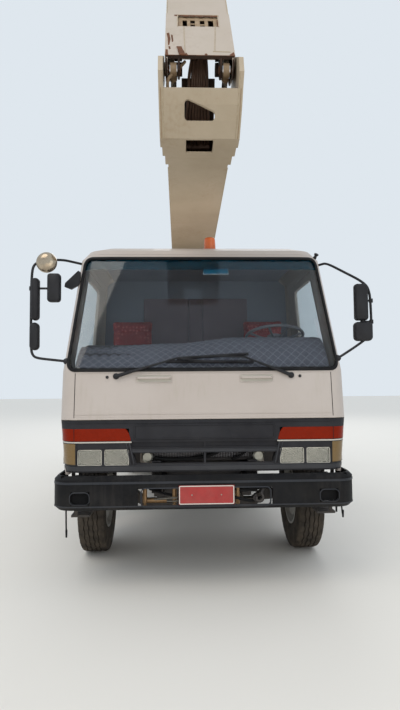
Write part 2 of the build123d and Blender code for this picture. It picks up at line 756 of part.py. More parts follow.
def knuckles():
    """Steering knuckles: a fork round the axle's eye, the kingpin through it and the wheel's spindle."""
    for side, hand in ((1, "left"), (-1, "right")):
        with BuildPart() as made:
            for z in ((400, 449), (571, 612)):
                block((side * 752, side * 900), (FRONT_AXLE - 48, FRONT_AXLE + 48), z)
            block((side * 870, side * 902), (FRONT_AXLE - 75, FRONT_AXLE + 75), (400, 612))
            post(side * KINGPIN_X, FRONT_AXLE, (395, 616), 22)
            cross_tube((side * 890, side * 1068), FRONT_AXLE, TYRE_RADIUS, SPINDLE - FIT)
        keep(f"knuckle_{hand}", made)


def strut(x, ends, span, radius, mode=Mode.ADD):
    """A round bar on the line between two (station, height) points, over a span of distance from the first."""
    (s0, z0), (s1, z1) = ends
    length = math.hypot(s1 - s0, z1 - z0)
    run, rise = (s1 - s0) / length, (z1 - z0) / length
    middle = sum(span) / 2
    centre = (x, station(s0 + run * middle), z0 + rise * middle)
    with Locations(Plane(origin=centre, x_dir=(1, 0, 0), z_dir=(0, run, rise)).location):
        Cylinder(radius, abs(span[1] - span[0]), mode=mode)


# Slewing turret and its lift cylinder
LIFT_BASE = (5350, 1465)
LIFT_EYE_AT = (900, -310)
LIFT_EYE = along_boom(*LIFT_EYE_AT)
LIFT_LENGTH = math.dist(LIFT_BASE, LIFT_EYE)
PIVOT_PIN = 45
TOWER = ((5225, 1379), (6175, 1379), (6160, 2100), (6110, 3080), (6050, 3150), (5950, 3150), (5890, 3080),
         (5800, 2500), (5330, 1760), (5225, 1600))


def turntable():
    """Slewing table with two tower plates, the boom's pivot pin, a hydraulic tank and the control box."""
    with BuildPart() as made:
        post(0, SLEW_STATION, (1342, 1380), 505)
        post(0, SLEW_STATION, (1240, 1343), SPIGOT - FIT)
        for side in (-1, 1):
            side_plate(TOWER, (side * 238, side * 264))
            cross_tube((side * 236, side * 290), *BOOM_PIVOT, 95)
        cross_tube((-292, 292), *BOOM_PIVOT, PIVOT_PIN - FIT)
        block((-239, 239), (6128, 6150), (1379, 2080))
        cross_tube((-239, 239), 5960, 2350, 60)
        cross_tube((-239, 239), *LIFT_BASE, 40 - FIT)
        both_sides([(120, 145, 5270, 5430, 1379, 1590)])
        blocks([(-560, -263, 5530, 6020, 1379, 1900), (263, 430, 5560, 5900, 1450, 1860),
                (263, 300, 5700, 5760, 1379, 1451)])
    keep("turntable", made, BOOM_ASIDE)


def lift_cylinder():
    """Lift cylinder under the lower boom: its barrel on the table and its rod up to the boom's lugs."""
    ends = (LIFT_BASE, LIFT_EYE)
    with BuildPart() as barrel:
        strut(0, ends, (30, 1262), 80)
        cross_tube((-100, 100), *LIFT_BASE, 72)
        strut(0, ends, (72, 1241), 66, Mode.SUBTRACT)
        strut(0, ends, (1240, 1263), 50 + FIT, Mode.SUBTRACT)
        cross_tube((-101, 101), *LIFT_BASE, 40, Mode.SUBTRACT)
    keep("lift_barrel", barrel, BOOM_ASIDE)
    with BuildPart() as rod:
        strut(0, ends, (78, LIFT_LENGTH - 40), 50)
        strut(0, ends, (78, 108), 62)
        cross_tube((-40, 40), *LIFT_EYE, 58)
        cross_tube((-41, 41), *LIFT_EYE, 35, Mode.SUBTRACT)
    keep("lift_rod", rod, BOOM_ASIDE)


# Lower boom
TOP_PLATE_END = 5850
BOX_END = 6300
CHEEK = ((-330, 3270), (-450, 3280), (-560, 3293), (-660, 3369), (-740, 3440), (-800, 3515), (-870, 3590),
         (-830, 3708), (-495, 3918), (-415, 3922), (-368, 3880), (-180, 3640), (-200, 3400))
CHIN = ((-262, 3268), (-330, 3270), (-450, 3280), (-560, 3293), (-660, 3369), (-740, 3440), (-800, 3515),
        (-789, 3524), (-731, 3451), (-651, 3379), (-555, 3305), (-450, 3292), (-262, 3280))
CHEEK_X = (245, 275)
ELBOW_PIN = 45
RAM_X = 178
RAM_BASE = (590, 3400)
RAM_EYE = (-640, 3730)


def lower_boom():
    """Box boom from the tower to the elbow, open at its nose, with thick cheeks that carry the elbow's pins."""
    with BuildPart() as made:
        side_plate(boom_point(along_boom, ((-150, -200), (BOX_END, -200), (BOX_END, 200), (-150, 200))),
                   (-BOOM_HALF, BOOM_HALF), Mode.ADD)
        side_plate(boom_point(along_boom, ((-138, -190), (BOX_END + 9, -190), (BOX_END + 9, 190), (-138, 190))),
                   (-BOOM_HALF + PLATE, BOOM_HALF - PLATE), Mode.SUBTRACT)
        side_plate(boom_point(along_boom, ((TOP_PLATE_END, 100), (BOX_END + 9, 100), (BOX_END + 9, 210), (TOP_PLATE_END, 210))),
                   (-BOOM_HALF + PLATE, BOOM_HALF - PLATE), Mode.SUBTRACT)
        side_plate(CHIN, (-CHEEK_X[0] - 1, CHEEK_X[0] + 1))
        for side in (-1, 1):
            side_plate(CHEEK, (side * CHEEK_X[0], side * (CHEEK_X[1] - 12)))
            side_plate((*CHEEK[1:-1], (-300, 3420)), (side * (CHEEK_X[1] - 13), side * CHEEK_X[1]))
            side_plate(((-440, 3279), (-330, 3270), (-200, 3262), (-200, 3540), (-440, 3540)),
                       (side * (BOOM_HALF - PLATE), side * (CHEEK_X[0] + 1)))
            cross_tube((side * 168, side * (CHEEK_X[1] + 14)), *ELBOW, ELBOW_PIN - FIT)
            cross_tube((side * (CHEEK_X[1] - 1), side * (CHEEK_X[1] + 10)), *ELBOW, 68)
            for inner, outer in ((RAM_X - 50, RAM_X - 39), (RAM_X + 33, BOOM_HALF - 1)):
                side_plate(((RAM_BASE[0] - 60, 3240), (RAM_BASE[0] + 60, 3232), (RAM_BASE[0] + 50, RAM_BASE[1] + 30),
                            (RAM_BASE[0] - 40, RAM_BASE[1] + 45)), (side * inner, side * outer))
            cross_tube((side * (RAM_X - 50), side * (RAM_X + 34)), *RAM_BASE, 25 - FIT)
            side_plate(boom_point(along_boom, ((740, -199), (1060, -199), (970, -365), (830, -365))),
                       (side * 56, side * 82))
        cross_tube((-300, 300), *BOOM_PIVOT, PIVOT_PIN, Mode.SUBTRACT)
        for side in (-1, 1):
            cross_tube((side * 200, side * 231), *BOOM_PIVOT, 88)
        cross_tube((-300, 300), *BOOM_PIVOT, PIVOT_PIN, Mode.SUBTRACT)
        cross_tube((-80, 80), *LIFT_EYE, 35, Mode.SUBTRACT)
        block((-95, 95), (-540, -371), (3240, 3340), Mode.SUBTRACT)
        front_prism(((-106, 3369), (97, 3369), (97, 3409), (-106, 3471)), (-830, -610), 20, Mode.SUBTRACT)
    keep("lower_boom", made, BOOM_ASIDE)


def elbow_rams():
    """The two elbow cylinders inside the lower boom's nose: barrels on one body, rods on the other."""
    ends = (RAM_BASE, RAM_EYE)
    length = math.dist(*ends)
    with BuildPart() as barrels:
        for side in (-1, 1):
            x = side * RAM_X
            strut(x, ends, (20, 860), 30)
            cross_tube((x - 29, x + 29), *RAM_BASE, 42)
            strut(x, ends, (50, 845), 25, Mode.SUBTRACT)
            strut(x, ends, (840, 861), 20 + FIT, Mode.SUBTRACT)
            cross_tube((x - 36, x + 36), *RAM_BASE, 25, Mode.SUBTRACT)
    keep("elbow_barrels", barrels, BOOM_ASIDE)
    with BuildPart() as rods:
        for side in (-1, 1):
            x = side * RAM_X
            strut(x, ends, (370, length - 30), 20)
            strut(x, ends, (370, 400), 23)
            cross_tube((x - 25, x + 25), *RAM_EYE, 46)
            cross_tube((x - 26, x + 26), *RAM_EYE, 22, Mode.SUBTRACT)
    keep("elbow_rods", rods, BOOM_ASIDE)


def elbow_hoses():
    """The hose bundle that runs through the elbow's open middle, up to its axis."""
    with BuildPart() as made:
        for x in (-58, -28, 2, 32):
            pipe([(x, 420, 3480), (x, -120, 3492), (x, -300, 3640), (x, ELBOW[0] - 20, ELBOW[1])], 13, 180)
        pipe([(-60, 420, 3480), (34, 420, 3480)], 9, 1)
    keep("elbow_hoses", made, BOOM_ASIDE)


# Upper boom, fly section and basket
COLLAR = (-206, 500)
SIDE_WALL = ((-206, UPPER_HIGH), (UPPER_LENGTH, UPPER_HIGH), (UPPER_LENGTH, UPPER_LOW), (700, UPPER_LOW), (0, -90),
             (-90, -70), (-190, 20), (-262, 55), (-268, 112), (-228, 148))
LUG = ((-206, 165), (-60, 165), (-60, 60), (-190, 20), (-262, 55), (-268, 112), (-228, 148))
FLY = (1300, 5700)
FLY_HALF = 207
FLY_LOW, FLY_HIGH = UPPER_LOW + 20, UPPER_HIGH - 20
TIP = along_upper(TIP_REACH, -27)


def upper_boom():
    """Box boom above the elbow, with a thicker collar at its foot and lugs for the elbow cylinders."""
    with BuildPart() as made:
        for side in (-1, 1):
            side_plate(boom_point(along_upper, SIDE_WALL), (side * (UPPER_HALF - PLATE), side * UPPER_HALF))
            side_plate(boom_point(along_upper, ((COLLAR[0], UPPER_HIGH + 6), (COLLAR[1], UPPER_HIGH + 6),
                                                (COLLAR[1], -120), (60, -80), (-100, -40), (-180, 60))),
                       (side * (UPPER_HALF - 1), side * (UPPER_HALF + 9)))
            side_plate(boom_point(along_upper, LUG), (side * (RAM_X - 42), side * (RAM_X - 31)))
            cross_tube((side * 172, side * UPPER_HALF), *ELBOW, 78)
        side_plate(boom_point(along_upper, ((COLLAR[0], 163), (UPPER_LENGTH, 163), (UPPER_LENGTH, UPPER_HIGH),
                                            (COLLAR[0], UPPER_HIGH))), (-UPPER_HALF, UPPER_HALF))
        side_plate(boom_point(along_upper, ((COLLAR[0], UPPER_HIGH - 1), (COLLAR[1], UPPER_HIGH - 1),
                                            (COLLAR[1], UPPER_HIGH + 10), (COLLAR[0], UPPER_HIGH + 10))),
                   (-UPPER_HALF - 9, UPPER_HALF + 9))
        side_plate(boom_point(along_upper, ((700, UPPER_LOW), (UPPER_LENGTH, UPPER_LOW), (UPPER_LENGTH, UPPER_LOW + 10),
                                            (700, UPPER_LOW + 10))), (-UPPER_HALF, UPPER_HALF))
        side_plate(boom_point(along_upper, ((UPPER_LENGTH - 120, UPPER_LOW - 12), (UPPER_LENGTH, UPPER_LOW - 12),
                                            (UPPER_LENGTH, UPPER_HIGH + 12), (UPPER_LENGTH - 120, UPPER_HIGH + 12))),
                   (-UPPER_HALF - 12, UPPER_HALF + 12))
        side_plate(boom_point(along_upper, ((UPPER_LENGTH - 121, UPPER_LOW + 10), (UPPER_LENGTH + 1, UPPER_LOW + 10),
                                            (UPPER_LENGTH + 1, UPPER_HIGH - 10), (UPPER_LENGTH - 121, UPPER_HIGH - 10))),
                   (-UPPER_HALF + PLATE, UPPER_HALF - PLATE), Mode.SUBTRACT)
        side_plate(boom_point(along_upper, ((266, 150), (467, 150), (467, 190), (266, 190))), (-145, 145),
                   Mode.SUBTRACT)
        for side in (-1, 1):
            cross_tube((side * 120, side * 244), *ELBOW, ELBOW_PIN, Mode.SUBTRACT)
        cross_tube((-240, 240), *RAM_EYE, 22, Mode.SUBTRACT)
    keep("upper_boom", made, BOOM_ASIDE)


def fly_section():
    """Inner section that slides out of the upper boom, with the head that carries the basket."""
    with BuildPart() as made:
        side_plate(boom_point(along_upper, ((FLY[0], FLY_LOW), (FLY[1], FLY_LOW), (FLY[1], FLY_HIGH), (FLY[0], FLY_HIGH))),
                   (-FLY_HALF, FLY_HALF))
        side_plate(boom_point(along_upper, ((FLY[0] - 1, FLY_LOW + 8), (FLY[1] - 8, FLY_LOW + 8),
                                            (FLY[1] - 8, FLY_HIGH - 8), (FLY[0] - 1, FLY_HIGH - 8))),
                   (-FLY_HALF + 8, FLY_HALF - 8), Mode.SUBTRACT)
        for side in (-1, 1):
            side_plate(boom_point(along_upper, ((FLY[1] - 1, -150), (TIP_REACH + 20, -82), (TIP_REACH + 55, -45),
                                                (TIP_REACH + 50, 0), (TIP_REACH, 30), (FLY[1] - 1, 110))),
                       (side * 95, side * 120))
        cross_tube((-300, 300), *TIP, 30, Mode.SUBTRACT)
        side_plate(boom_point(along_upper, ((FLY[1] - 1, -90), (FLY[1] + 200, -60), (FLY[1] + 200, -50), (FLY[1] - 1, -80))),
                   (-96, 96))
    keep("fly_section", made, BOOM_ASIDE)


BASKET_S = (TIP[0] + 250, TIP[0] + 1000)
BASKET_FLOOR = TIP[1] - 350
BASKET_HALF = 780
RAIL_TUBE = 19


def basket():
    """Work platform: a floor with kick boards, posts and two rails, on a bracket with the levelling pin."""
    s0, s1 = BASKET_S
    z = BASKET_FLOOR
    with BuildPart() as made:
        block((-BASKET_HALF, BASKET_HALF), (s0, s1), (z, z + 22))
        both_sides([(BASKET_HALF - 6, BASKET_HALF, s0, s1, z, z + 150)])
        blocks([(-BASKET_HALF, BASKET_HALF, s, s + 6, z, z + 150) for s in (s0, s1 - 6)])
        for height in (560, 1080):
            for s in (s0 + RAIL_TUBE, s1 - RAIL_TUBE):
                cross_tube((-BASKET_HALF + 1, BASKET_HALF - 1), s, z + height, RAIL_TUBE)
            for side in (-1, 1):
                long_tube(side * (BASKET_HALF - RAIL_TUBE), (s0 + 1, s1 - 1), z + height, RAIL_TUBE)
        for x in (-BASKET_HALF + RAIL_TUBE, -260, 260, BASKET_HALF - RAIL_TUBE):
            for s in (s0 + RAIL_TUBE, s1 - RAIL_TUBE):
                post(x, s, (z + 21, z + 1080), RAIL_TUBE)
        for side in (-1, 1):
            x = (side * 128, side * 152)
            side_plate(((TIP[0] - 60, TIP[1] - 30), (TIP[0] - 20, TIP[1] - 62), (s0 + 1, z + 60), (s0 + 1, z + 640),
                        (TIP[0] + 20, TIP[1] + 62), (TIP[0] - 50, TIP[1] + 40)), x)
        blocks([(-300, 300, s0 - 24, s0 + 2, z + 20, z + 90), (-300, 300, s0 - 24, s0 + 2, z + 540, z + 640)])
        cross_tube((-160, 160), *TIP, 30 - FIT)
        block((360, 640), (s0 - 160, s0 + 4), (z + 820, z + 1080))
    keep("basket", made, BOOM_ASIDE)


frame_rails()
leaf_springs()
front_axle()
rear_axle()
driveline()
side_tanks()
front_bumper()
number_plate()
deck()
outrigger_casings()
outriggers()
lockers()
mudguards()
tail_bar()
boom_rest()
cab_shell()
cab_glass()
doors()
grille()
lamps()
dashboard()
seats()
steering_wheel()
mirrors()
wipers()
beacon()
wheels()
knuckles()
turntable()
lift_cylinder()
lower_boom()
elbow_rams()
elbow_hoses()
upper_boom()
fly_section()
basket()
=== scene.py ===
"""The visible finish of a cab-over truck that carries an articulated work platform.

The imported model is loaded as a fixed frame. Around it this file dresses each assembly: it gives
every solid the paint, rubber or glass that the real one has, and adds the small forms that a solid
leaves out, such as tread, welds, bolts, gaskets, hoses and stitching. All lengths are in metres, -Y
is the way the truck drives and +X is the driver's side.
"""
from __future__ import annotations

import json
import logging
import math
from dataclasses import dataclass, field
from enum import Enum
from typing import Callable, Sequence

import bmesh
import bpy
from mathutils import Matrix, Vector

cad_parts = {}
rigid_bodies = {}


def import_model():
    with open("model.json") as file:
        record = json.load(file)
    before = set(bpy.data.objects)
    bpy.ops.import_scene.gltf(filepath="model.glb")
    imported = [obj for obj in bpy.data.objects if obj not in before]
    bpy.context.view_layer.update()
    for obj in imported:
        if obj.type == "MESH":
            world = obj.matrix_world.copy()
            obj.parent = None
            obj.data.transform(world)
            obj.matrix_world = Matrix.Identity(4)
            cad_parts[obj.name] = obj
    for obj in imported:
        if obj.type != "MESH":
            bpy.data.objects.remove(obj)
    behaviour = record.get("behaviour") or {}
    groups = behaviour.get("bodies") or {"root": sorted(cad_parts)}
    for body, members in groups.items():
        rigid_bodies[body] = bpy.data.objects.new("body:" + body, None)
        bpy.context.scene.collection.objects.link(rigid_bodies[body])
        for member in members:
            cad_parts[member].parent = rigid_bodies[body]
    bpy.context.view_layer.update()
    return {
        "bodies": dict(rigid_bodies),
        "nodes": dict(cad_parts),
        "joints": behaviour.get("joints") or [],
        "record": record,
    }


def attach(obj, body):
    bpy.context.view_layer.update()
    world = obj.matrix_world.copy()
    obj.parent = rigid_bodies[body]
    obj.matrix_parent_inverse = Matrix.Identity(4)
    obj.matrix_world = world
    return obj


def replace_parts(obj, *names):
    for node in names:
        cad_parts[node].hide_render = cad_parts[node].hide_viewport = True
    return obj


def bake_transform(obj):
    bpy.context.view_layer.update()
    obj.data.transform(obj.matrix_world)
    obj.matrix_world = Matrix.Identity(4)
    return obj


LOG = logging.getLogger("truck")
Point = tuple[float, float, float]
Flat = tuple[float, float]

MIDDLE_STATION = 3.720    # from the bumper's face back to the frame's origin
IMAGE_SIZE = (400, 710)
SHARP_ANGLE = 35.0        # edges under this many degrees are shaded smooth
WELD_DISTANCE = 1e-6      # corners nearer than this are one
DIAGONAL = 0.7071         # part of a slanting axis along each of two others


def along(station: float) -> float:
    """The Y coordinate of a distance measured back from the bumper's face."""
    return station - MIDDLE_STATION


def site(x: float, station: float, z: float) -> Point:
    """A place by how far it lies across, behind the bumper's face and above the ground."""
    return (x, along(station), z)


def each(place: Callable[..., Point], *spots: Sequence[float]) -> list[Point]:
    """The places that a function gives for several spots, in order."""
    return [place(*spot) for spot in spots]


def circle(count: int, first: float = 0.0) -> list[Flat]:
    """Cosine and sine of evenly spaced turns, the first one a part of a step after zero."""
    return [(math.cos(a), math.sin(a)) for a in (math.tau * (i + first) / count
                                                 for i in range(count))]


def mirrored(side: int, low: float, high: float) -> Flat:
    """Two places across, on one side of the truck, the lower value first."""
    return (min(side * low, side * high), max(side * low, side * high))


def mix_points(start: Flat, end: Flat, part: float) -> Flat:
    """The point that lies a part of the way from start to end."""
    return tuple(start[i] + (end[i] - start[i]) * part for i in (0, 1))


def linear(hexcode: str) -> tuple[float, float, float, float]:
    """Turns an sRGB hex colour into linear values.

    Args:
        hexcode: six hex digits, such as "d8d4cb".

    Returns:
        Red, green, blue and an alpha of one.
    """
    out = []
    for i in (0, 2, 4):
        value = int(hexcode[i:i + 2], 16) / 255
        out.append(value / 12.92 if value <= 0.04045 else ((value + 0.055) / 1.055) ** 2.4)
    return (out[0], out[1], out[2], 1.0)


def add_node(tree: bpy.types.NodeTree, kind: str, values: dict | None = None,
             links: dict | None = None, **props) -> bpy.types.Node:
    """Adds a node with its settings and links.

    Args:
        tree: the tree it goes into.
        kind: the node's type name.
        values: input name or index to a value.
        links: input name or index to the output socket that feeds it.
        props: the node's own properties.

    Returns:
        The new node.
    """
    node = tree.nodes.new(kind)
    for key, value in props.items():
        setattr(node, key, value)
    for key, value in (values or {}).items():
        node.inputs[key].default_value = value
    for key, socket in (links or {}).items():
        tree.links.new(socket, node.inputs[key])
    return node


@dataclass(frozen=True)
class Coat:
    """One surface finish: a base colour with grime, wear and fine relief.

    Patterns read Object coordinates in metres, so a grain of 4 mm has a scale of 1 / 0.004.
    """

    name: str
    colour: str
    rough: float = 0.5
    metallic: float = 0.0
    specular: float = 0.5     # 0.5 is a clean dielectric; grime and chalk take it down
    shade: str = ""           # the second colour of slow, patchy variation
    patch: float = 0.35       # size of those patches in metres
    amount: float = 0.35      # how strongly they show
    grain: float = 0.0        # size of the fine relief in metres
    relief: float = 0.1       # strength of that relief
    dust: str = ""            # colour of the dust that settles low down
    dust_top: float = 1.2     # height in metres at which the dust has faded out
    dust_amount: float = 0.5  # how thickly it lies at the bottom
    coat: float = 0.0         # clear lacquer over the colour
    clear: float = 0.0        # how far light passes through
    ior: float = 1.5
    glow: float = 0.0
    streak: str = ""          # colour of run-down stains
    streak_amount: float = 0.4

    def build(self) -> bpy.types.Material:
        """Makes the material once and returns it."""
        found = bpy.data.materials.get(self.name)
        if found:
            return found
        material = bpy.data.materials.new(self.name)
        material.use_nodes = True
        tree = material.node_tree
        tree.nodes.clear()
        out = tree.nodes.new("ShaderNodeOutputMaterial")
        shader = add_node(tree, "ShaderNodeBsdfPrincipled", {
            "Base Color": linear(self.colour), "Roughness": self.rough, "Metallic": self.metallic,
            "IOR": self.ior, "Coat Weight": self.coat, "Transmission Weight": self.clear,
            "Specular IOR Level": self.specular})
        tree.links.new(shader.outputs[0], out.inputs["Surface"])
        place = add_node(tree, "ShaderNodeTexCoord").outputs["Object"]
        colour = self.colouring(tree, place)
        if colour:
            tree.links.new(colour, shader.inputs["Base Color"])
        if self.rough_varies():
            cloud = add_node(tree, "ShaderNodeTexNoise", {"Scale": 0.6 / self.patch, "Detail": 6.0},
                             {"Vector": place})
            spread = add_node(tree, "ShaderNodeMapRange",
                              {"From Min": 0.3, "From Max": 0.7, "To Min": max(0.02,
                                                                               self.rough - 0.08),
                               "To Max": min(1.0, self.rough + 0.12)}, {"Value": cloud.outputs[0]})
            tree.links.new(spread.outputs[0], shader.inputs["Roughness"])
        if self.grain:
            fine = add_node(tree, "ShaderNodeTexNoise", {"Scale": 0.5 / self.grain, "Detail": 3.0},
                            {"Vector": place})
            bump = add_node(tree, "ShaderNodeBump", {"Strength": self.relief,
                                                     "Distance": self.grain * 0.4},
                            {"Height": fine.outputs[0]})
            tree.links.new(bump.outputs[0], shader.inputs["Normal"])
        if self.glow:
            shader.inputs["Emission Color"].default_value = linear(self.colour)
            shader.inputs["Emission Strength"].default_value = self.glow
        return material

    def rough_varies(self) -> bool:
        """Whether the gloss is uneven, which clean glass and lenses aren't."""
        return self.clear == 0 and self.glow == 0

    def colouring(self, tree: bpy.types.NodeTree,
                  place: bpy.types.NodeSocket) -> bpy.types.NodeSocket | None:
        """Mixes patches, streaks and dust over the base colour.

        Args:
            tree: the material's tree.
            place: Object coordinates.

        Returns:
            The socket with the mixed colour, or None where one flat colour is right.
        """
        socket = None
        if self.shade:
            cloud = add_node(tree, "ShaderNodeTexNoise",
                             {"Scale": 1 / self.patch, "Detail": 7.0, "Roughness": 0.62},
                             {"Vector": place})
            ramp = add_node(tree, "ShaderNodeMapRange", {"From Min": 0.35, "From Max": 0.75,
                                                         "To Max": self.amount},
                            {"Value": cloud.outputs[0]})
            socket = self.mix(tree, ramp.outputs[0], linear(self.colour), linear(self.shade))
        if self.streak:
            stretch = add_node(tree, "ShaderNodeMapping", {"Scale": (1.0, 1.0, 0.07)},
                               {"Vector": place})
            runs = add_node(tree, "ShaderNodeTexNoise", {"Scale": 38.0, "Detail": 4.0},
                            {"Vector": stretch.outputs[0]})
            where = add_node(tree, "ShaderNodeTexNoise", {"Scale": 2.3, "Detail": 2.0},
                             {"Vector": place})
            both = add_node(tree, "ShaderNodeMath", {}, {0: runs.outputs[0], 1: where.outputs[0]},
                            operation="MULTIPLY")
            cut = add_node(tree, "ShaderNodeMapRange", {"From Min": 0.29, "From Max": 0.46,
                                                        "To Max": self.streak_amount},
                           {"Value": both.outputs[0]})
            socket = self.mix(tree, cut.outputs[0], socket or linear(self.colour),
                              linear(self.streak))
        if self.dust:
            parts = add_node(tree, "ShaderNodeSeparateXYZ", {}, {0: place})
            height = add_node(tree, "ShaderNodeMapRange",
                              {"From Min": 0.15, "From Max": self.dust_top,
                               "To Min": self.dust_amount, "To Max": 0.0},
                              {"Value": parts.outputs[2]})
            cloud = add_node(tree, "ShaderNodeTexNoise",
                             {"Scale": 9.0, "Detail": 8.0, "Roughness": 0.7}, {"Vector": place})
            spread = add_node(tree, "ShaderNodeMapRange", {"From Min": 0.3, "From Max": 0.72},
                              {"Value": cloud.outputs[0]})
            both = add_node(tree, "ShaderNodeMath", {}, {0: height.outputs[0],
                                                         1: spread.outputs[0]},
                            operation="MULTIPLY")
            socket = self.mix(tree, both.outputs[0], socket or linear(self.colour),
                              linear(self.dust))
        return socket

    @staticmethod
    def mix(tree: bpy.types.NodeTree, factor: bpy.types.NodeSocket, first,
            second) -> bpy.types.NodeSocket:
        """Mixes two colours, each a value or a socket, and returns the result's socket."""
        node = add_node(tree, "ShaderNodeMix", data_type="RGBA")
        tree.links.new(factor, node.inputs[0])
        for index, source in ((6, first), (7, second)):
            if isinstance(source, bpy.types.NodeSocket):
                tree.links.new(source, node.inputs[index])
            else:
                node.inputs[index].default_value = source
        return node.outputs[2]


class Body(str, Enum):
    """The bodies that pieces ride on."""

    CHASSIS = "chassis"
    TURRET = "turret"
    LOWER = "lower_boom"
    UPPER = "upper_boom"
    BASKET = "basket"


class Shape:
    """Collects simple forms into one mesh, and turns them into a finished piece."""

    def __init__(self) -> None:
        """Starts with an empty mesh."""
        self.bm = bmesh.new()

    def ring_skin(self, rings: Sequence[Sequence[Point]], caps: bool = True,
                  loop: bool = False) -> None:
        """Skins closed rings of equal length, in order.

        Args:
            rings: rings of points.
            caps: whether the first and last ring are closed with a face.
            loop: whether the last ring joins the first.
        """
        made = [[self.bm.verts.new(p) for p in ring] for ring in rings]
        pairs = list(zip(made, made[1:])) + ([(made[-1], made[0])] if loop else [])
        for low, high in pairs:
            count = len(low)
            for i in range(count):
                j = (i + 1) % count
                self.bm.faces.new((low[i], low[j], high[j], high[i]))
        if caps and not loop:
            self.bm.faces.new(made[0][::-1])
            self.bm.faces.new(made[-1])

    def box(self, low: Point, high: Point) -> None:
        """Adds a box between two corners."""
        (x0, y0, z0), (x1, y1, z1) = low, high
        self.ring_skin([[(x0, y0, z), (x1, y0, z), (x1, y1, z), (x0, y1, z)] for z in (z0, z1)])

    def prism(self, outline: Sequence[Flat], plane: str, low: float, high: float) -> None:
        """Adds a straight prism.

        Args:
            outline: points in the plane, as (y, z) for "X", (x, z) for "Y" and (x, y) for "Z".
            plane: the axis that the prism runs along.
            low: where it starts on that axis.
            high: where it ends.
        """
        place = {"X": lambda a, b, t: (t, a, b), "Y": lambda a, b, t: (a, t, b), "Z": lambda a, b,
                 t: (a, b, t)}[plane]
        self.ring_skin([[place(a, b, t) for a, b in outline] for t in (low, high)])

    def bar(self, start: Point, end: Point, radius: float, sides: int = 16,
            taper: float = 1.0) -> None:
        """Adds a round bar between two points, whose far end may be thinner."""
        first, last = Vector(start), Vector(end)
        turn = (last - first).to_track_quat("Z", "Y")
        rings = []
        for centre, size in ((first, radius), (last, radius * taper)):
            rings.append([tuple(centre + turn @ Vector((size * c, size * d, 0.0)))
                          for c, d in circle(sides)])
        self.ring_skin(rings)

    def chain(self, points: Sequence[Point], radius: float, sides: int = 8) -> None:
        """Adds straight round bars from point to point."""
        for start, end in zip(points, points[1:]):
            self.bar(start, end, radius, sides)

    def lathe(self, profile: Sequence[Flat], centre: Point, axis: Point = (1, 0, 0),
              steps: int = 48, loop: bool = True) -> None:
        """Turns a profile of (radius, distance along the axis) about an axis.

        Args:
            profile: the section; with loop it is closed, so it may have a hole in the middle.
            centre: where distance zero lies.
            axis: the direction of the axis.
            steps: faces around.
            loop: whether the section closes on itself.
        """
        turn = Vector(axis).normalized().to_track_quat("Z", "Y")
        middle = Vector(centre)
        rings = [[tuple(middle + turn @ Vector((r * c, r * d, h))) for r, h in profile]
                 for c, d in circle(steps)]
        made = [[self.bm.verts.new(p) for p in ring] for ring in rings]
        count = len(profile)
        for i in range(steps):
            here, there = made[i], made[(i + 1) % steps]
            for j in range(count if loop else count - 1):
                k = (j + 1) % count
                self.bm.faces.new((here[j], there[j], there[k], here[k]))

    def tube(self, points: Sequence[Point], radius: float, sides: int = 10, order: int = 3) -> None:
        """Adds a smooth bent tube along the points."""
        path = smooth_path(points, order)
        rings = []
        up = Vector((0, 0, 1))
        for i, point in enumerate(path):
            ahead = (path[min(i + 1, len(path) - 1)] - path[max(i - 1, 0)]).normalized()
            side = ahead.cross(up)
            if side.length < 0.2:
                side = ahead.cross(Vector((1, 0, 0)))
            side.normalize()
            up = side.cross(ahead).normalized()
            rings.append([tuple(point + side * radius * c + up * radius * d)
                          for c, d in circle(sides)])
        self.ring_skin(rings)

    def piece(self, name: str, coat: Coat, body: str | None = Body.CHASSIS, bevel: float = 0.0,
              segments: int = 2, smooth: float = SHARP_ANGLE) -> bpy.types.Object:
        """Finishes the mesh as an object that rides on a body.

        Args:
            name: the piece's name.
            coat: its finish.
            body: the body that it moves with; with none, it rides on no body.
            bevel: width in metres of the rounding on its sharp edges.
            segments: steps in that rounding.
            smooth: edges under this angle in degrees are shaded smooth.

        Returns:
            The new object.
        """
        bmesh.ops.remove_doubles(self.bm, verts=self.bm.verts, dist=WELD_DISTANCE)
        bmesh.ops.recalc_face_normals(self.bm, faces=self.bm.faces)
        mesh = bpy.data.meshes.new(name)
        self.bm.to_mesh(mesh)
        self.bm.free()
        thing = bpy.data.objects.new(name, mesh)
        bpy.context.scene.collection.objects.link(thing)
        mesh.materials.append(coat.build())
        mesh.shade_smooth()
        mesh.set_sharp_from_angle(angle=math.radians(smooth))
        if bevel:
            rounding = thing.modifiers.new("rounding", "BEVEL")
            rounding.width = bevel
            rounding.segments = segments
            rounding.limit_method = "ANGLE"
            rounding.angle_limit = math.radians(smooth)
            rounding.harden_normals = False
        if body:
            settle(thing, body)
        return thing


def settle(thing: bpy.types.Object, body: str) -> None:
    """Makes a piece ride on a body and names it in the log."""
    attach(thing, body)
    LOG.info("%s rides on %s", thing.name, body)


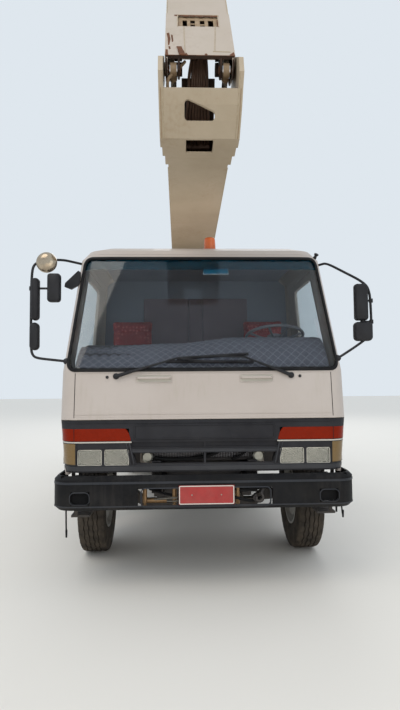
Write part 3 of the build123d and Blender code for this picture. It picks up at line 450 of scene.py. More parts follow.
def smooth_path(points: Sequence[Point], order: int = 3) -> list[Vector]:
    """Points along a NURBS spline that has the given control points.

    Args:
        points: the control points.
        order: the spline's order; two gives straight runs.

    Returns:
        The points of the curve, as Blender evaluates it.
    """
    data = bpy.data.curves.new("path", "CURVE")
    data.dimensions = "3D"
    spline = data.splines.new("NURBS")
    spline.points.add(len(points) - 1)
    for control, point in zip(spline.points, points):
        control.co = (*point, 1.0)
    spline.order_u = order
    spline.use_endpoint_u = True
    spline.resolution_u = 8
    thing = bpy.data.objects.new("path", data)
    bpy.context.scene.collection.objects.link(thing)
    graph = bpy.context.evaluated_depsgraph_get()
    mesh = bpy.data.meshes.new_from_object(thing.evaluated_get(graph))
    out = [v.co.copy() for v in mesh.vertices]
    bpy.data.objects.remove(thing)
    bpy.data.curves.remove(data)
    bpy.data.meshes.remove(mesh)
    return out


class Repeats:
    """Repeats a small form on many points by Geometry Nodes, and keeps the result as a mesh."""

    TREE = "form on points"

    @classmethod
    def tree(cls) -> bpy.types.NodeTree:
        """The node tree: a form on every point, turned to that point's own axis."""
        found = bpy.data.node_groups.get(cls.TREE)
        if found:
            return found
        tree = bpy.data.node_groups.new(cls.TREE, "GeometryNodeTree")
        face = tree.interface
        face.new_socket("Points", in_out="INPUT", socket_type="NodeSocketGeometry")
        face.new_socket("Form", in_out="INPUT", socket_type="NodeSocketObject")
        face.new_socket("Size", in_out="INPUT", socket_type="NodeSocketFloat").default_value = 1.0
        face.new_socket("Finish", in_out="INPUT", socket_type="NodeSocketMaterial")
        face.new_socket("Mesh", in_out="OUTPUT", socket_type="NodeSocketGeometry")
        start = tree.nodes.new("NodeGroupInput")
        end = tree.nodes.new("NodeGroupOutput")
        form = add_node(tree, "GeometryNodeObjectInfo", {}, {"Object": start.outputs["Form"]})
        axis = add_node(tree, "GeometryNodeInputNamedAttribute", {"Name": "axis"},
                        data_type="FLOAT_VECTOR")
        face_axis = add_node(tree, "GeometryNodeInputNamedAttribute", {"Name": "face"},
                             data_type="FLOAT_VECTOR")
        turn = add_node(tree, "FunctionNodeAxesToRotation", {},
                        {0: axis.outputs[0], 1: face_axis.outputs[0]}, primary_axis="Z",
                        secondary_axis="X")
        on_points = add_node(tree, "GeometryNodeInstanceOnPoints", {},
                             {"Points": start.outputs["Points"],
                              "Instance": form.outputs["Geometry"], "Rotation": turn.outputs[0],
                              "Scale": start.outputs["Size"]})
        real = add_node(tree, "GeometryNodeRealizeInstances", {}, {0: on_points.outputs[0]})
        dressed = add_node(tree, "GeometryNodeSetMaterial", {},
                           {"Geometry": real.outputs[0], "Material": start.outputs["Finish"]})
        tree.links.new(dressed.outputs[0], end.inputs[0])
        return tree

    @classmethod
    def make(cls, name: str, form: "Shape", spots: Sequence[tuple[Point, Point, Point]], coat: Coat,
             body: str = Body.CHASSIS, size: float = 1.0) -> bpy.types.Object:
        """Puts a form on every spot.

        Args:
            name: the piece's name.
            form: the form, built about the origin with +Z outwards.
            spots: (place, outward axis, sideways axis) of each copy.
            coat: the finish.
            body: the body that all copies ride on.
            size: scale of the form.

        Returns:
            The joined piece.
        """
        small = bpy.data.meshes.new("form")
        bmesh.ops.recalc_face_normals(form.bm, faces=form.bm.faces)
        form.bm.to_mesh(small)
        form.bm.free()
        small.shade_smooth()
        small.set_sharp_from_angle(angle=math.radians(SHARP_ANGLE))
        form_object = bpy.data.objects.new("form", small)
        bpy.context.scene.collection.objects.link(form_object)
        base = bpy.data.meshes.new("spots")
        base.from_pydata([spot[0] for spot in spots], [], [])
        for column, label in ((1, "axis"), (2, "face")):
            layer = base.attributes.new(label, "FLOAT_VECTOR", "POINT")
            for i, spot in enumerate(spots):
                layer.data[i].vector = spot[column]
        holder = bpy.data.objects.new("spots", base)
        bpy.context.scene.collection.objects.link(holder)
        modifier = holder.modifiers.new("repeat", "NODES")
        tree = cls.tree()
        modifier.node_group = tree
        sockets = {item.name: item.identifier for item in tree.interface.items_tree
                   if item.in_out == "INPUT"}
        modifier[sockets["Form"]] = form_object
        modifier[sockets["Size"]] = size
        modifier[sockets["Finish"]] = coat.build()
        graph = bpy.context.evaluated_depsgraph_get()
        mesh = bpy.data.meshes.new_from_object(holder.evaluated_get(graph))
        mesh.name = name
        for label in ("axis", "face"):
            if label in mesh.attributes:
                mesh.attributes.remove(mesh.attributes[label])
        thing = bpy.data.objects.new(name, mesh)
        bpy.context.scene.collection.objects.link(thing)
        for spare in (holder, form_object):
            bpy.data.objects.remove(spare)
        settle(thing, body)
        return thing


class Paint:
    """The truck's finishes, each named for the material and how its surface was made."""

    cab = Coat("sprayed enamel, chalked white", "b7ada5", rough=0.45, shade="a89c92", patch=0.5,
               amount=0.5, dust="9b8e7c", dust_top=1.6, dust_amount=0.3, streak="a39a88",
               streak_amount=0.3, coat=0.1)
    boom = Coat("weathered cream enamel on steel", "b0a18b", rough=0.52, shade="9a8a71", patch=0.35,
                amount=0.6, grain=0.004, relief=0.05, streak="8a6a48", streak_amount=0.2)
    # Painted light: the boom's cream enamel made paler and greyer for the upper boom and fly
    # section, standing in for the sky light on them; the streaks are rust.
    boom_sky_lit = Coat("weathered cream enamel on steel, paler as painted sky light", "b4a89b", rough=0.52, shade="a39784",
                     patch=0.4, amount=0.5, grain=0.004, relief=0.05, streak="8b7155",
                     streak_amount=0.25)
    nose = Coat("moulded polypropylene, sun-faded", "242428", rough=0.66, specular=0.2,
                shade="38393d", patch=0.2, amount=0.5, grain=0.0012, relief=0.25, dust="857b6e",
                dust_top=1.5, dust_amount=0.14)
    bumper = Coat("brushed-on bumper enamel", "0e0f12", rough=0.5, specular=0.12, shade="1a1c20",
                  patch=0.22, amount=0.6, grain=0.003, relief=0.12, dust="83796b", dust_top=1.1,
                  dust_amount=0.14, streak="5f5a56", streak_amount=0.07)
    chassis = Coat("chassis lacquer under road dirt", "26252a", rough=0.7, shade="3d3833",
                   patch=0.15, amount=0.7, grain=0.004, relief=0.3, dust="6f6557", dust_top=1.3)
    deck = Coat("rolled chequer plate, walked bare", "6d6b67", rough=0.55, metallic=0.35,
                shade="4f4841", patch=0.3, amount=0.7, grain=0.004, relief=0.2, streak="6b4a33",
                streak_amount=0.3)
    rim = Coat("wheel silver enamel under brake dust", "a7a6a1", rough=0.5, shade="6d675e",
               patch=0.12, amount=0.7, dust="6f6557", dust_top=1.2)
    tyre = Coat("vulcanised tread rubber", "1e1c1b", rough=0.86, specular=0.2, shade="33302d",
                patch=0.12, amount=0.7, grain=0.002, relief=0.3, dust="7a6d5d", dust_top=0.95)
    black = Coat("moulded ABS, black", "1b1b1e", rough=0.5, specular=0.3, shade="2f2f33",
                 patch=0.15, amount=0.5, grain=0.001, relief=0.12, dust="6f675c", dust_top=1.2)
    rubber = Coat("extruded window rubber", "141416", rough=0.75, specular=0.2, shade="2a2928",
                  patch=0.1, amount=0.5)
    hose = Coat("spiral-wound hydraulic hose", "4d392d", rough=0.6, shade="74594a", patch=0.08,
                amount=0.7, grain=0.002, relief=0.3)
    rust = Coat("bare steel, rusted", "6e4327", rough=0.85, shade="3b2417", patch=0.05, amount=0.8,
                grain=0.003, relief=0.5)
    steel = Coat("turned steel, oily", "85858a", rough=0.35, metallic=1.0, shade="5a5654",
                 patch=0.08, amount=0.5)
    zinc = Coat("zinc-plated steel", "a4a49c", rough=0.42, metallic=0.9, shade="807a6a", patch=0.03,
                amount=0.6)
    chrome = Coat("hard chrome, ground", "c9cbd0", rough=0.12, metallic=1.0)
    mirror = Coat("silvered mirror glass", "dfe3e6", rough=0.03, metallic=1.0)
    glass = Coat("tempered glass, faint green", "e6ecee", rough=0.02, clear=1.0, ior=1.30)
    band = Coat("dyed glass band, blue-green", "0f7593", rough=0.05, clear=0.85, ior=1.22)
    lens = Coat("pressed lamp glass", "e6eaea", rough=0.06, clear=1.0, ior=1.35)
    orange = Coat("orange acrylic, ribbed", "7d1b01", rough=0.24, specular=0.1, shade="661702",
                  patch=0.05, amount=0.4)
    amber = Coat("amber acrylic dome", "d0621c", rough=0.2, shade="8c3c0c", patch=0.04, amount=0.4,
                 coat=0.2)
    pale = Coat("yellowed clear acrylic", "745d38", rough=0.25, specular=0.3, shade="6f5c3e",
                patch=0.05, amount=0.5, coat=0.1)
    # Painted shade: the cab enamel a touch darker, standing in for the shade inside the grab-handle
    # wells.
    well = Coat("sprayed enamel in shade, chalked", "b3aea2", rough=0.5, shade="9d968a", patch=0.3,
                amount=0.4)
    strip = Coat("moulded white trim strip", "bdb9b0", rough=0.4, shade="8f897e", patch=0.2,
                 amount=0.5)
    # Painted highlight: a lighter copy of the nose plastic for the light lines along the grille's
    # slat and bars; the gloss and dust are real.
    nose_highlight = Coat("moulded polypropylene, glossy, lighter as painted highlight", "2c2d31", rough=0.45, specular=0.3,
                      shade="434448", patch=0.3, amount=0.5, dust="857b6e", dust_top=1.2,
                      dust_amount=0.15)
    # Painted highlight: a much lighter copy of the bumper enamel for the light caught along its
    # rolled edges and the rims of its openings; the dust is real.
    bumper_edge_highlight = Coat("bumper enamel, lighter at the edge as painted highlight", "2a2d33", rough=0.42, specular=0.25,
                       shade="202329", patch=0.12, amount=0.6, dust="8b8274", dust_top=1.0,
                       dust_amount=0.2)
    reflector = Coat("vacuum-metallised dish", "8f8b84", rough=0.2, metallic=1.0)
    bezel = Coat("bright headlamp bezel", "b9b7ae", rough=0.3, metallic=0.8, shade="88837a",
                 patch=0.04, amount=0.6)
    bulb = Coat("bulb glass, pearly", "e9e6dc", rough=0.3)
    roller = Coat("brass-coated fairlead roller", "9a7a55", rough=0.42, metallic=0.6,
                  shade="5c4630", patch=0.05, amount=0.7)
    rope = Coat("winch rope, grey with dirt", "6f6a60", rough=0.9, shade="45413b", patch=0.02,
                amount=0.7, grain=0.003, relief=0.5)
    plate = Coat("pressed plate, red enamel", "a3201f", rough=0.4, shade="7c1a18", patch=0.06,
                 amount=0.5, dust="8b7e6f", dust_top=1.0)
    plate_rim = Coat("pressed plate, white border", "c9c4bb", rough=0.45)
    jack = Coat("worn orange enamel", "b2601f", rough=0.5, shade="7c4319", patch=0.12, amount=0.6,
                streak="55331d", streak_amount=0.5, dust="7a6d5d", dust_top=0.9)
    basket = Coat("hot-dip galvanised tube", "9fa19f", rough=0.5, metallic=0.75, shade="7c7e7d",
                  patch=0.03, amount=0.6)
    cloth = Coat("woven seat cloth, red", "6f2a26", rough=0.9, shade="3e1615", patch=0.02,
                 amount=0.8, grain=0.003, relief=0.5)
    dash = Coat("padded dashboard vinyl", "3b3940", rough=0.7, shade="4b4850", patch=0.1,
                amount=0.5, grain=0.0015, relief=0.3)


def dress(frame: dict, coats: dict[str, Coat]) -> None:
    """Gives CAD nodes their finish.

    Args:
        coats: node name to finish.
    """
    for node, coat in coats.items():
        thing = frame["nodes"][node]
        material = coat.build()
        if not thing.material_slots:
            thing.data.materials.append(material)
        for slot in thing.material_slots:
            slot.material = material
        LOG.info("%s has the finish %s", node, coat.name)


@dataclass
class Studio:
    """Camera, lamps, floor and backdrop."""

    height: float = 1.60
    distance: float = 4.14
    focal_pixels: float = 533.0
    pitch: float = 3.2
    yaw: float = -2.12
    roll: float = -0.45
    aside: float = -0.188
    sensor: float = 36.0
    floor_half: float = 60.0
    sky: float = 1.2          # strength of the sky as a lamp

    def camera(self) -> None:
        """Stands the camera where the photograph was taken from."""
        data = bpy.data.cameras.new("camera")
        data.sensor_width = self.sensor
        data.lens = self.sensor * self.focal_pixels / max(IMAGE_SIZE)
        data.clip_start = 0.05
        data.clip_end = 200.0
        thing = bpy.data.objects.new("camera", data)
        bpy.context.scene.collection.objects.link(thing)
        thing.location = site(self.aside, -self.distance, self.height)
        turn = Matrix.Rotation(math.radians(self.yaw), 4,
                               "Z") @ Matrix.Rotation(math.radians(90 + self.pitch), 4, "X")
        thing.rotation_euler = (turn @ Matrix.Rotation(math.radians(self.roll), 4, "Z")).to_euler()
        bpy.context.scene.camera = thing

    def lamp(self, name: str, place: Point, aim: Point, size: float, power: float,
             colour: str = "ffffff") -> None:
        """Adds a soft square lamp that faces a point."""
        data = bpy.data.lights.new(name, "AREA")
        data.shape = "SQUARE"
        data.size = size
        data.energy = power
        data.color = linear(colour)[:3]
        thing = bpy.data.objects.new(name, data)
        bpy.context.scene.collection.objects.link(thing)
        thing.location = place
        thing.rotation_euler = (Vector(aim) - Vector(place)).to_track_quat("-Z", "Y").to_euler()

    def floor(self) -> None:
        """Lays the pale floor, which keeps the machine's shadow."""
        form = Shape()
        form.box((-self.floor_half, -self.floor_half, -0.02),
                 (self.floor_half, self.floor_half, -0.001))
        mesh = bpy.data.meshes.new("floor")
        form.bm.to_mesh(mesh)
        form.bm.free()
        thing = bpy.data.objects.new("floor", mesh)
        bpy.context.scene.collection.objects.link(thing)
        mesh.materials.append(Coat("pale studio floor", "dedad2", rough=0.9).build())

    def world(self) -> None:
        """An even pale sky, a little dimmer as a lamp than it looks to the camera."""
        world = bpy.data.worlds.new("pale sky")
        bpy.context.scene.world = world
        world.use_nodes = True
        tree = world.node_tree
        tree.nodes.clear()
        ray = tree.nodes.new("ShaderNodeLightPath")
        seen = add_node(tree, "ShaderNodeMath", {}, {0: ray.outputs["Is Camera Ray"],
                                                     1: ray.outputs["Is Glossy Ray"]},
                        operation="MAXIMUM")
        seen = add_node(tree, "ShaderNodeMath", {}, {0: seen.outputs[0],
                                                     1: ray.outputs["Is Transmission Ray"]},
                        operation="MAXIMUM")
        pale = add_node(tree, "ShaderNodeBackground", {"Color": linear("dfe7ee"), "Strength": 1.0})
        light = add_node(tree, "ShaderNodeBackground",
                         {"Color": linear("dfe6ee"), "Strength": self.sky})
        blend = add_node(tree, "ShaderNodeMixShader", {},
                         {0: seen.outputs[0], 1: light.outputs[0], 2: pale.outputs[0]})
        out = tree.nodes.new("ShaderNodeOutputWorld")
        tree.links.new(blend.outputs[0], out.inputs[0])

    def build(self) -> None:
        """Sets up the whole studio."""
        scene = bpy.context.scene
        scene.view_settings.view_transform = "Standard"
        self.camera()
        self.floor()
        self.world()
        self.lamp("key", (-6.0, -11.0, 14.0), (0, -2.0, 2.5), 8.0, 620.0, "fff6ea")
        self.lamp("fill", (7.0, -15.0, 2.8), (0, -2.0, 3.4), 8.0, 180.0, "f4f1ea")
        self.lamp("pavement", (0.0, -9.0, 0.25), (0, -2.6, 3.3), 5.0, 60.0, "f2e6d6")
        self.lamp("roof bounce", site(-0.045, 0.9, 2.93), site(-0.045, 0.9, 4.0), 1.6, 2.2,
                  "fff4e6")
        self.lamp("back", (3.0, 14.0, 13.0), (0, 2.0, 3.0), 9.0, 600.0)


@dataclass(frozen=True)
class CabSkin:
    """The cab's outer surface; a section is its height, front station, half width and corner."""

    sections: tuple[tuple[float, float, float, float], ...] = (
        (0.900, 0.070, 1.112, 0.150), (1.335, 0.045, 1.142, 0.150), (1.715, 0.095, 1.140, 0.150),
        (2.700, 0.450, 1.056, 0.150), (2.790, 0.530, 1.000, 0.150), (2.835, 0.640, 0.910, 0.150),
        (2.860, 0.810, 0.780, 0.150))
    screen: tuple[Flat, ...] = ((-1.093, 1.722), (1.093, 1.722), (1.006, 2.702), (-1.006, 2.702))
    screen_corner: float = 0.070

    def section(self, z: float) -> tuple[float, float, float]:
        """Front station, half width and corner radius at a height."""
        for low, high in zip(self.sections, self.sections[1:]):
            if z <= high[0] or high is self.sections[-1]:
                t = (z - low[0]) / (high[0] - low[0])
                return tuple(a + (b - a) * t for a, b in zip(low[1:], high[1:]))
        return self.sections[-1][1:]

    def front(self, x: float, z: float) -> float:
        """Station of the front surface at a place across the cab and a height."""
        front, half, corner = self.section(z)
        beyond = abs(x) - (half - corner)
        if beyond <= 0:
            return front
        return front + corner - math.sqrt(max(corner ** 2 - min(beyond, corner) ** 2, 0.0))

    def at(self, x: float, z: float, out: float = 0.0) -> Point:
        """A point on the front surface, or a distance in front of it."""
        return site(x, self.front(x, z) - out, z)

    def slab(self, form: Shape, columns: Sequence[tuple[float, float, float]], out: float,
             back: float) -> None:
        """Adds a plate that follows the front surface.

        Args:
            form: the shape it goes into.
            columns: (x, low z, high z) from one end to the other.
            out: how far its face stands in front of the surface.
            back: how far its back lies behind the surface.
        """
        rings = []
        for x, low, high in columns:
            face = [self.at(x, low + (high - low) * t, out) for t in (0.0, 0.34, 0.67, 1.0)]
            rear = [self.at(x, low + (high - low) * t, -back) for t in (1.0, 0.67, 0.34, 0.0)]
            rings.append(face + rear)
        form.ring_skin(rings)

    def span(self, form: Shape, x: Flat, z: Flat, out: float, back: float, steps: int = 16) -> None:
        """Adds an oblong plate on the front surface between two x values and two heights."""
        self.slab(form, [(x[0] + (x[1] - x[0]) * i / steps, *z) for i in range(steps + 1)], out,
                  back)

    def seal(self, form: Shape, outline: Sequence[Flat], corner: float, inner: float, outer: float,
             out: float, back: float) -> None:
        """Adds a rubber moulding along an outline on the front surface.

        Args:
            form: the shape it goes into.
            outline: corners as (x, z).
            corner: radius at those corners.
            inner: how far the moulding reaches inside the outline.
            outer: how far it reaches outside.
            out: how proud it stands.
            back: how deep it sits.
        """
        loops = [rounded(outline, gap, corner) for gap in (-outer, -outer * 0.6, inner * 0.6,
                                                           inner)]
        rings = []
        for a, b, c, d in zip(*loops):
            rings.append(each(self.at, (*a, -back), (*a, out * 0.5), (*b, out), (*c, out),
                              (*d, out * 0.5), (*d, -back)))
        form.ring_skin(rings, loop=True)


def rounded(outline: Sequence[Flat], gap: float, corner: float, steps: int = 8,
            run: int = 14) -> list[Flat]:
    """An outline with round corners, moved inwards by a gap.

    Args:
        outline: corners in order.
        gap: how far inwards; a negative gap moves it outwards.
        corner: radius of the corners before the move.
        steps: points in each corner.
        run: points on each straight.

    Returns:
        The same number of points whatever the gap.
    """
    turn = sum(a[0] * b[1] - b[0] * a[1] for a, b in zip(outline, (*outline[1:], outline[0])))
    sense = 1.0 if turn > 0 else -1.0
    count = len(outline)
    sides = [(Vector(outline[(i + 1) % count]) - Vector(outline[i])) for i in range(count)]
    bends = [sides[i - 1].angle(sides[i]) for i in range(count)]
    cuts = [corner * math.tan(bend / 2) for bend in bends]
    out: list[Flat] = []
    for i in range(count):
        here, into, away = Vector(outline[i]), sides[i - 1].normalized(), sides[i].normalized()
        normal = Vector((-into.y, into.x)) * sense
        centre = here - into * cuts[i] + normal * corner
        start = math.atan2(-normal.y, -normal.x)
        for k in range(steps + 1):
            a = start + sense * bends[i] * k / steps
            out.append((centre.x + (corner - gap) * math.cos(a),
                        centre.y + (corner - gap) * math.sin(a)))
        length = sides[i].length - cuts[i] - cuts[(i + 1) % count]
        normal = Vector((-away.y, away.x)) * sense
        for k in range(1, run):
            point = here + away * (cuts[i] + length * k / run) + normal * gap
            out.append((point.x, point.y))
    return out


@dataclass
class CabFront:
    """The cab's front: windscreen moulding, dyed glass band, joints, grab handles and washers."""

    skin: CabSkin = field(default_factory=CabSkin)
    seam_x: float = 1.016
    handles: tuple[Flat, ...] = ((-0.538, -0.255), (0.285, 0.548))

    def moulding(self) -> None:
        """The black rubber that holds the windscreen."""
        form = Shape()
        self.skin.seal(form, self.skin.screen, self.skin.screen_corner, 0.014, 0.014, 0.010, 0.022)
        form.piece("windscreen_rubber", Paint.rubber)

    def sun_band(self) -> None:
        """The blue-green band dyed into the top of the glass, just behind its inner face."""
        form = Shape()
        rows = [self.rows(2.596 + 0.100 * i / 5) for i in range(6)]
        rings = []
        for x_at in range(33):
            ring = [self.skin.at(half * (x_at / 16 - 1), z, -0.018) for z, half in rows]
            ring += [self.skin.at(half * (x_at / 16 - 1), z, -0.022) for z, half in rows[::-1]]
            rings.append(ring)
        form.ring_skin(rings)
        form.piece("sun_band", Paint.band)

    def rows(self, z: float) -> tuple[float, float]:
        """A height and how far the glass reaches there to either side."""
        (_, z0), (x1, _), (x2, z2) = self.skin.screen[0], self.skin.screen[1], self.skin.screen[2]
        half = x1 + (x2 - x1) * (z - z0) / (z2 - z0) - 0.004
        near, corner = z2 - z, self.skin.screen_corner
        if near < corner:
            half -= corner - math.sqrt(max(0.0, corner ** 2 - (corner - near) ** 2))
        return z, half

    def joints(self) -> None:
        """Dark gaps between the front panel and the corner panels, and the fold along its foot."""
        form = Shape()
        for side in (-1, 1):
            x = mirrored(side, self.seam_x - 0.0025, self.seam_x + 0.0025)
            for i in range(8):
                z = 1.345 + 0.352 * i / 8
                self.skin.span(form, x, (z, z + 0.0445), 0.0012, 0.003, 1)
        form.piece("panel_joints", Paint.rubber)
        fold = Shape()
        self.skin.span(fold, (-1.006, 1.006), (1.372, 1.378), 0.0035, 0.002, 40)
        self.skin.span(fold, (-1.125, 1.125), (1.336, 1.350), 0.0045, 0.002, 60)
        self.skin.span(fold, (-1.006, 1.006), (1.694, 1.698), 0.003, 0.002, 40)
        fold.piece("panel_fold", Paint.cab, bevel=0.002)

    def grab_handles(self) -> None:
        """Two shallow wells under the windscreen, each with a bar to hold; each well is a flat
        plate whose darker enamel paints the shade of the recess.
        """
        wells, lips, bars = Shape(), Shape(), Shape()
        for x0, x1 in self.handles:
            self.skin.span(wells, (x0, x1), (1.624, 1.680), 0.0015, 0.002, 10)
            outline = ((x0, 1.622), (x1, 1.622), (x1, 1.682), (x0, 1.682))
            self.skin.seal(lips, outline, 0.012, 0.004, 0.004, 0.004, 0.001)
            s = self.skin.front((x0 + x1) / 2, 1.652)
            bars.tube(each(site, (x0 + 0.012, s + 0.002, 1.654), (x0 + 0.014, s - 0.020, 1.656),
                           (x0 + 0.040, s - 0.024, 1.656), (x1 - 0.040, s - 0.024, 1.656),
                           (x1 - 0.014, s - 0.020, 1.656), (x1 - 0.012, s + 0.002, 1.654)), 0.0095,
                      12)
        # The wells are not cut in; the darker enamel on their plates paints the shade of the
        # recess.
        wells.piece("handle_wells", Paint.well)
        lips.piece("handle_lips", Paint.cab)
        bars.piece("grab_handles", Paint.cab)

    def washers(self) -> None:
        """Washer nozzles beside the wiper pivots, and the aerial's cap on the roof corner."""
        form = Shape()
        for side in (-1, 1):
            place = self.skin.at(side * 0.765, 1.665)
            form.lathe([(0.0001, -0.004), (0.012, -0.004), (0.012, 0.006), (0.008, 0.010),
                        (0.0001, 0.011)], place, (0, -1, 0.1), 16, loop=False)
        x, y, z = self.skin.at(1.012, 2.716)
        form.lathe([(0.0001, -0.012), (0.014, -0.012), (0.016, 0.008), (0.012, 0.024),
                    (0.020, 0.036), (0.020, 0.046), (0.0001, 0.052)], (x, y, z), (0.35, -0.5, 0.8),
                   16, loop=False)
        form.piece("washers_and_cap", Paint.black)

    def gutters(self) -> None:
        """Rain gutters along the roof's sides and a seam over the windscreen."""
        form = Shape()
        for side in (-1, 1):
            form.tube(each(site, (side * 1.044, 0.62, 2.722), (side * 1.052, 0.80, 2.722),
                           (side * 1.052, 1.40, 2.722), (side * 1.050, 1.78, 2.722)), 0.009, 8)
        form.piece("rain_gutters", Paint.cab)
        seam = Shape()
        self.skin.span(seam, (-0.98, 0.98), (2.742, 2.747), 0.003, 0.002, 40)
        seam.piece("roof_seam", Paint.cab)

    def build(self) -> None:
        """Makes the whole front above the waist."""
        self.moulding()
        self.sun_band()
        self.joints()
        self.grab_handles()
        self.washers()
        self.gutters()


@dataclass
class Nose:
    """The dark nose below the waist: turn lamps, headlamps, corner lamps and grille."""

    skin: CabSkin = field(default_factory=CabSkin)
    headlamps: tuple[Flat, ...] = ((0.590, 0.784), (0.800, 0.992))
    headlamp_z: Flat = (0.975, 1.104)
    lamp_face: float = 0.066

    def turn_lamps(self) -> None:
        """Orange lamps with slanted inner ends, the pale strip under them and a dark joint."""
        lens, strip, joint = Shape(), Shape(), Shape()
        for side in (-1, 1):
            columns = []
            for i in range(41):
                x = 0.578 + (1.136 - 0.578) * i / 40
                rise = min(1.0, max(0.0, (x - 0.578) / 0.040))
                columns.append((side * x, 1.168, 1.186 + 0.078 * rise ** 0.55))
            self.skin.slab(lens, columns, 0.004, 0.030)
            self.skin.span(strip, (side * 0.570, side * 1.128), (1.153, 1.164), 0.006, 0.010, 30)
            self.skin.span(joint, (side * 1.0135, side * 1.0175), (1.166, 1.266), 0.0052, 0.001, 1)
        piece = lens.piece("turn_lamp_lenses", Paint.orange, bevel=0.003)
        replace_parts(piece, "turn_lamps")
        strip.piece("lamp_strips", Paint.strip, bevel=0.002)
        joint.piece("lamp_joints", Paint.rubber)

    def corner_lamps(self) -> None:
        """Yellowed corner lamps that wrap round the cab's corners."""
        lens, frame = Shape(), Shape()
        for side in (-1, 1):
            self.skin.span(lens, (side * 1.006, side * 1.128), (0.985, 1.149), 0.003, 0.030, 12)
            for z in ((0.978, 0.985), (1.149, 1.154)):
                self.skin.span(frame, (side * 1.002, side * 1.130), z, 0.005, 0.010, 12)
            self.skin.span(frame, (side * 0.999, side * 1.006), (0.978, 1.154), 0.005, 0.010, 1)
        piece = lens.piece("corner_lenses", Paint.pale, bevel=0.004)
        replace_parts(piece, "corner_lamps")
        frame.piece("corner_lamp_frames", Paint.black, bevel=0.0015)

    def bowl(self, form: Shape, x: Flat, z: Flat) -> None:
        """Adds one headlamp's mirror: an oblong dish that deepens to the bulb."""
        cx, cz = sum(x) / 2, sum(z) / 2
        hx, hz = (x[1] - x[0]) / 2 - 0.004, (z[1] - z[0]) / 2 - 0.004
        rings = []
        for k in range(9):
            t = k / 8
            size = 1.0 - t * 0.86
            power = 5.0 - 3.0 * t
            s = self.lamp_face + 0.012 + 0.036 * (1 - (1 - t) ** 2)
            ring = []
            for c, d in circle(40):
                ring.append(site(cx + hx * size * math.copysign(abs(c) ** (2 / power), c), s,
                                 cz + min(hz * (size + 0.25 * t),
                                          hz) * math.copysign(abs(d) ** (2 / power), d)))
            rings.append(ring)
        form.ring_skin(rings)

    def heads(self) -> None:
        """Twin oblong headlamps: bezel, mirror dish, bulb shield and fluted glass."""
        mirror, glass, bezel, bulb = Shape(), Shape(), Shape(), Shape()
        for side in (-1, 1):
            for x0, x1 in self.headlamps:
                x = mirrored(side, x0, x1)
                z = self.headlamp_z
                self.bowl(mirror, x, z)
                cx, cz = sum(x) / 2, sum(z) / 2
                face = along(self.lamp_face)
                outline = [(x[0] + 0.002, z[0] + 0.002), (x[1] - 0.002, z[0] + 0.002),
                           (x[1] - 0.002, z[1] - 0.002), (x[0] + 0.002, z[1] - 0.002)]
                rim = rounded(outline, 0.0, 0.014, 5, 4)
                inner = rounded(outline, 0.006, 0.014, 5, 4)
                bezel.ring_skin([[(a[0], face + 0.012, a[1]), (a[0], face - 0.002, a[1]),
                                  (b[0], face - 0.002, b[1]), (b[0], face + 0.012, b[1])]
                                 for a, b in zip(rim, inner)], loop=True)
                pane = rounded(outline, 0.005, 0.014, 5, 4)
                glass.ring_skin([[(p[0], face + d, p[1]) for p in pane] for d in (0.000, 0.004)])
                bulb.bar((cx, face + 0.040, cz), (cx, face + 0.016, cz), 0.013, 14, 0.7)
        piece = glass.piece("headlamp_glass", Paint.lens)
        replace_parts(piece, "headlamps")
        mirror.piece("headlamp_mirrors", Paint.reflector)
        bezel.piece("headlamp_bezels", Paint.bezel, bevel=0.001)
        bulb.piece("headlamp_bulbs", Paint.bulb)

    def grille(self) -> None:
        """Top panel with its border, slat, slanted end bars and what shows behind the opening."""
        panel, bars, fins, core = Shape(), Shape(), Shape(), Shape()
        self.skin.span(panel, (-0.545, 0.545), (1.182, 1.290), 0.004, 0.004, 12)
        self.skin.seal(panel, ((-0.545, 1.182), (0.545, 1.182), (0.545, 1.290), (-0.545, 1.290)),
                       0.012, 0.006, 0.004, 0.010, 0.002)
        self.skin.span(panel, (-1.128, 1.128), (1.306, 1.314), 0.005, 0.003, 50)
        for low, high, out in ((1.078, 1.100, 0.006), (1.100, 1.106, 0.012), (1.072, 1.078, 0.001)):
            bars.prism([(along(0.064 - out), low), (along(0.094), low), (along(0.094), high),
                        (along(0.064 - out), high)], "X", -0.572, 0.572)
        for side in (-1, 1):
            for shift, width in ((0.0, 0.010), (0.026, 0.007)):
                top, foot = side * (0.590 + shift), side * (0.552 + shift)
                bars.ring_skin([each(site, (x - width / 2, 0.050, z), (x + width / 2, 0.050, z),
                                     (x + width / 2, 0.072, z), (x - width / 2, 0.072, z))
                                for x, z in ((top, 1.166), (foot, 0.986))])
        self.skin.span(bars, (-1.112, 1.112), (0.936, 0.972), 0.012, 0.010, 50)
        self.skin.span(bars, (-1.112, 1.112), (0.972, 0.980), 0.004, 0.010, 50)
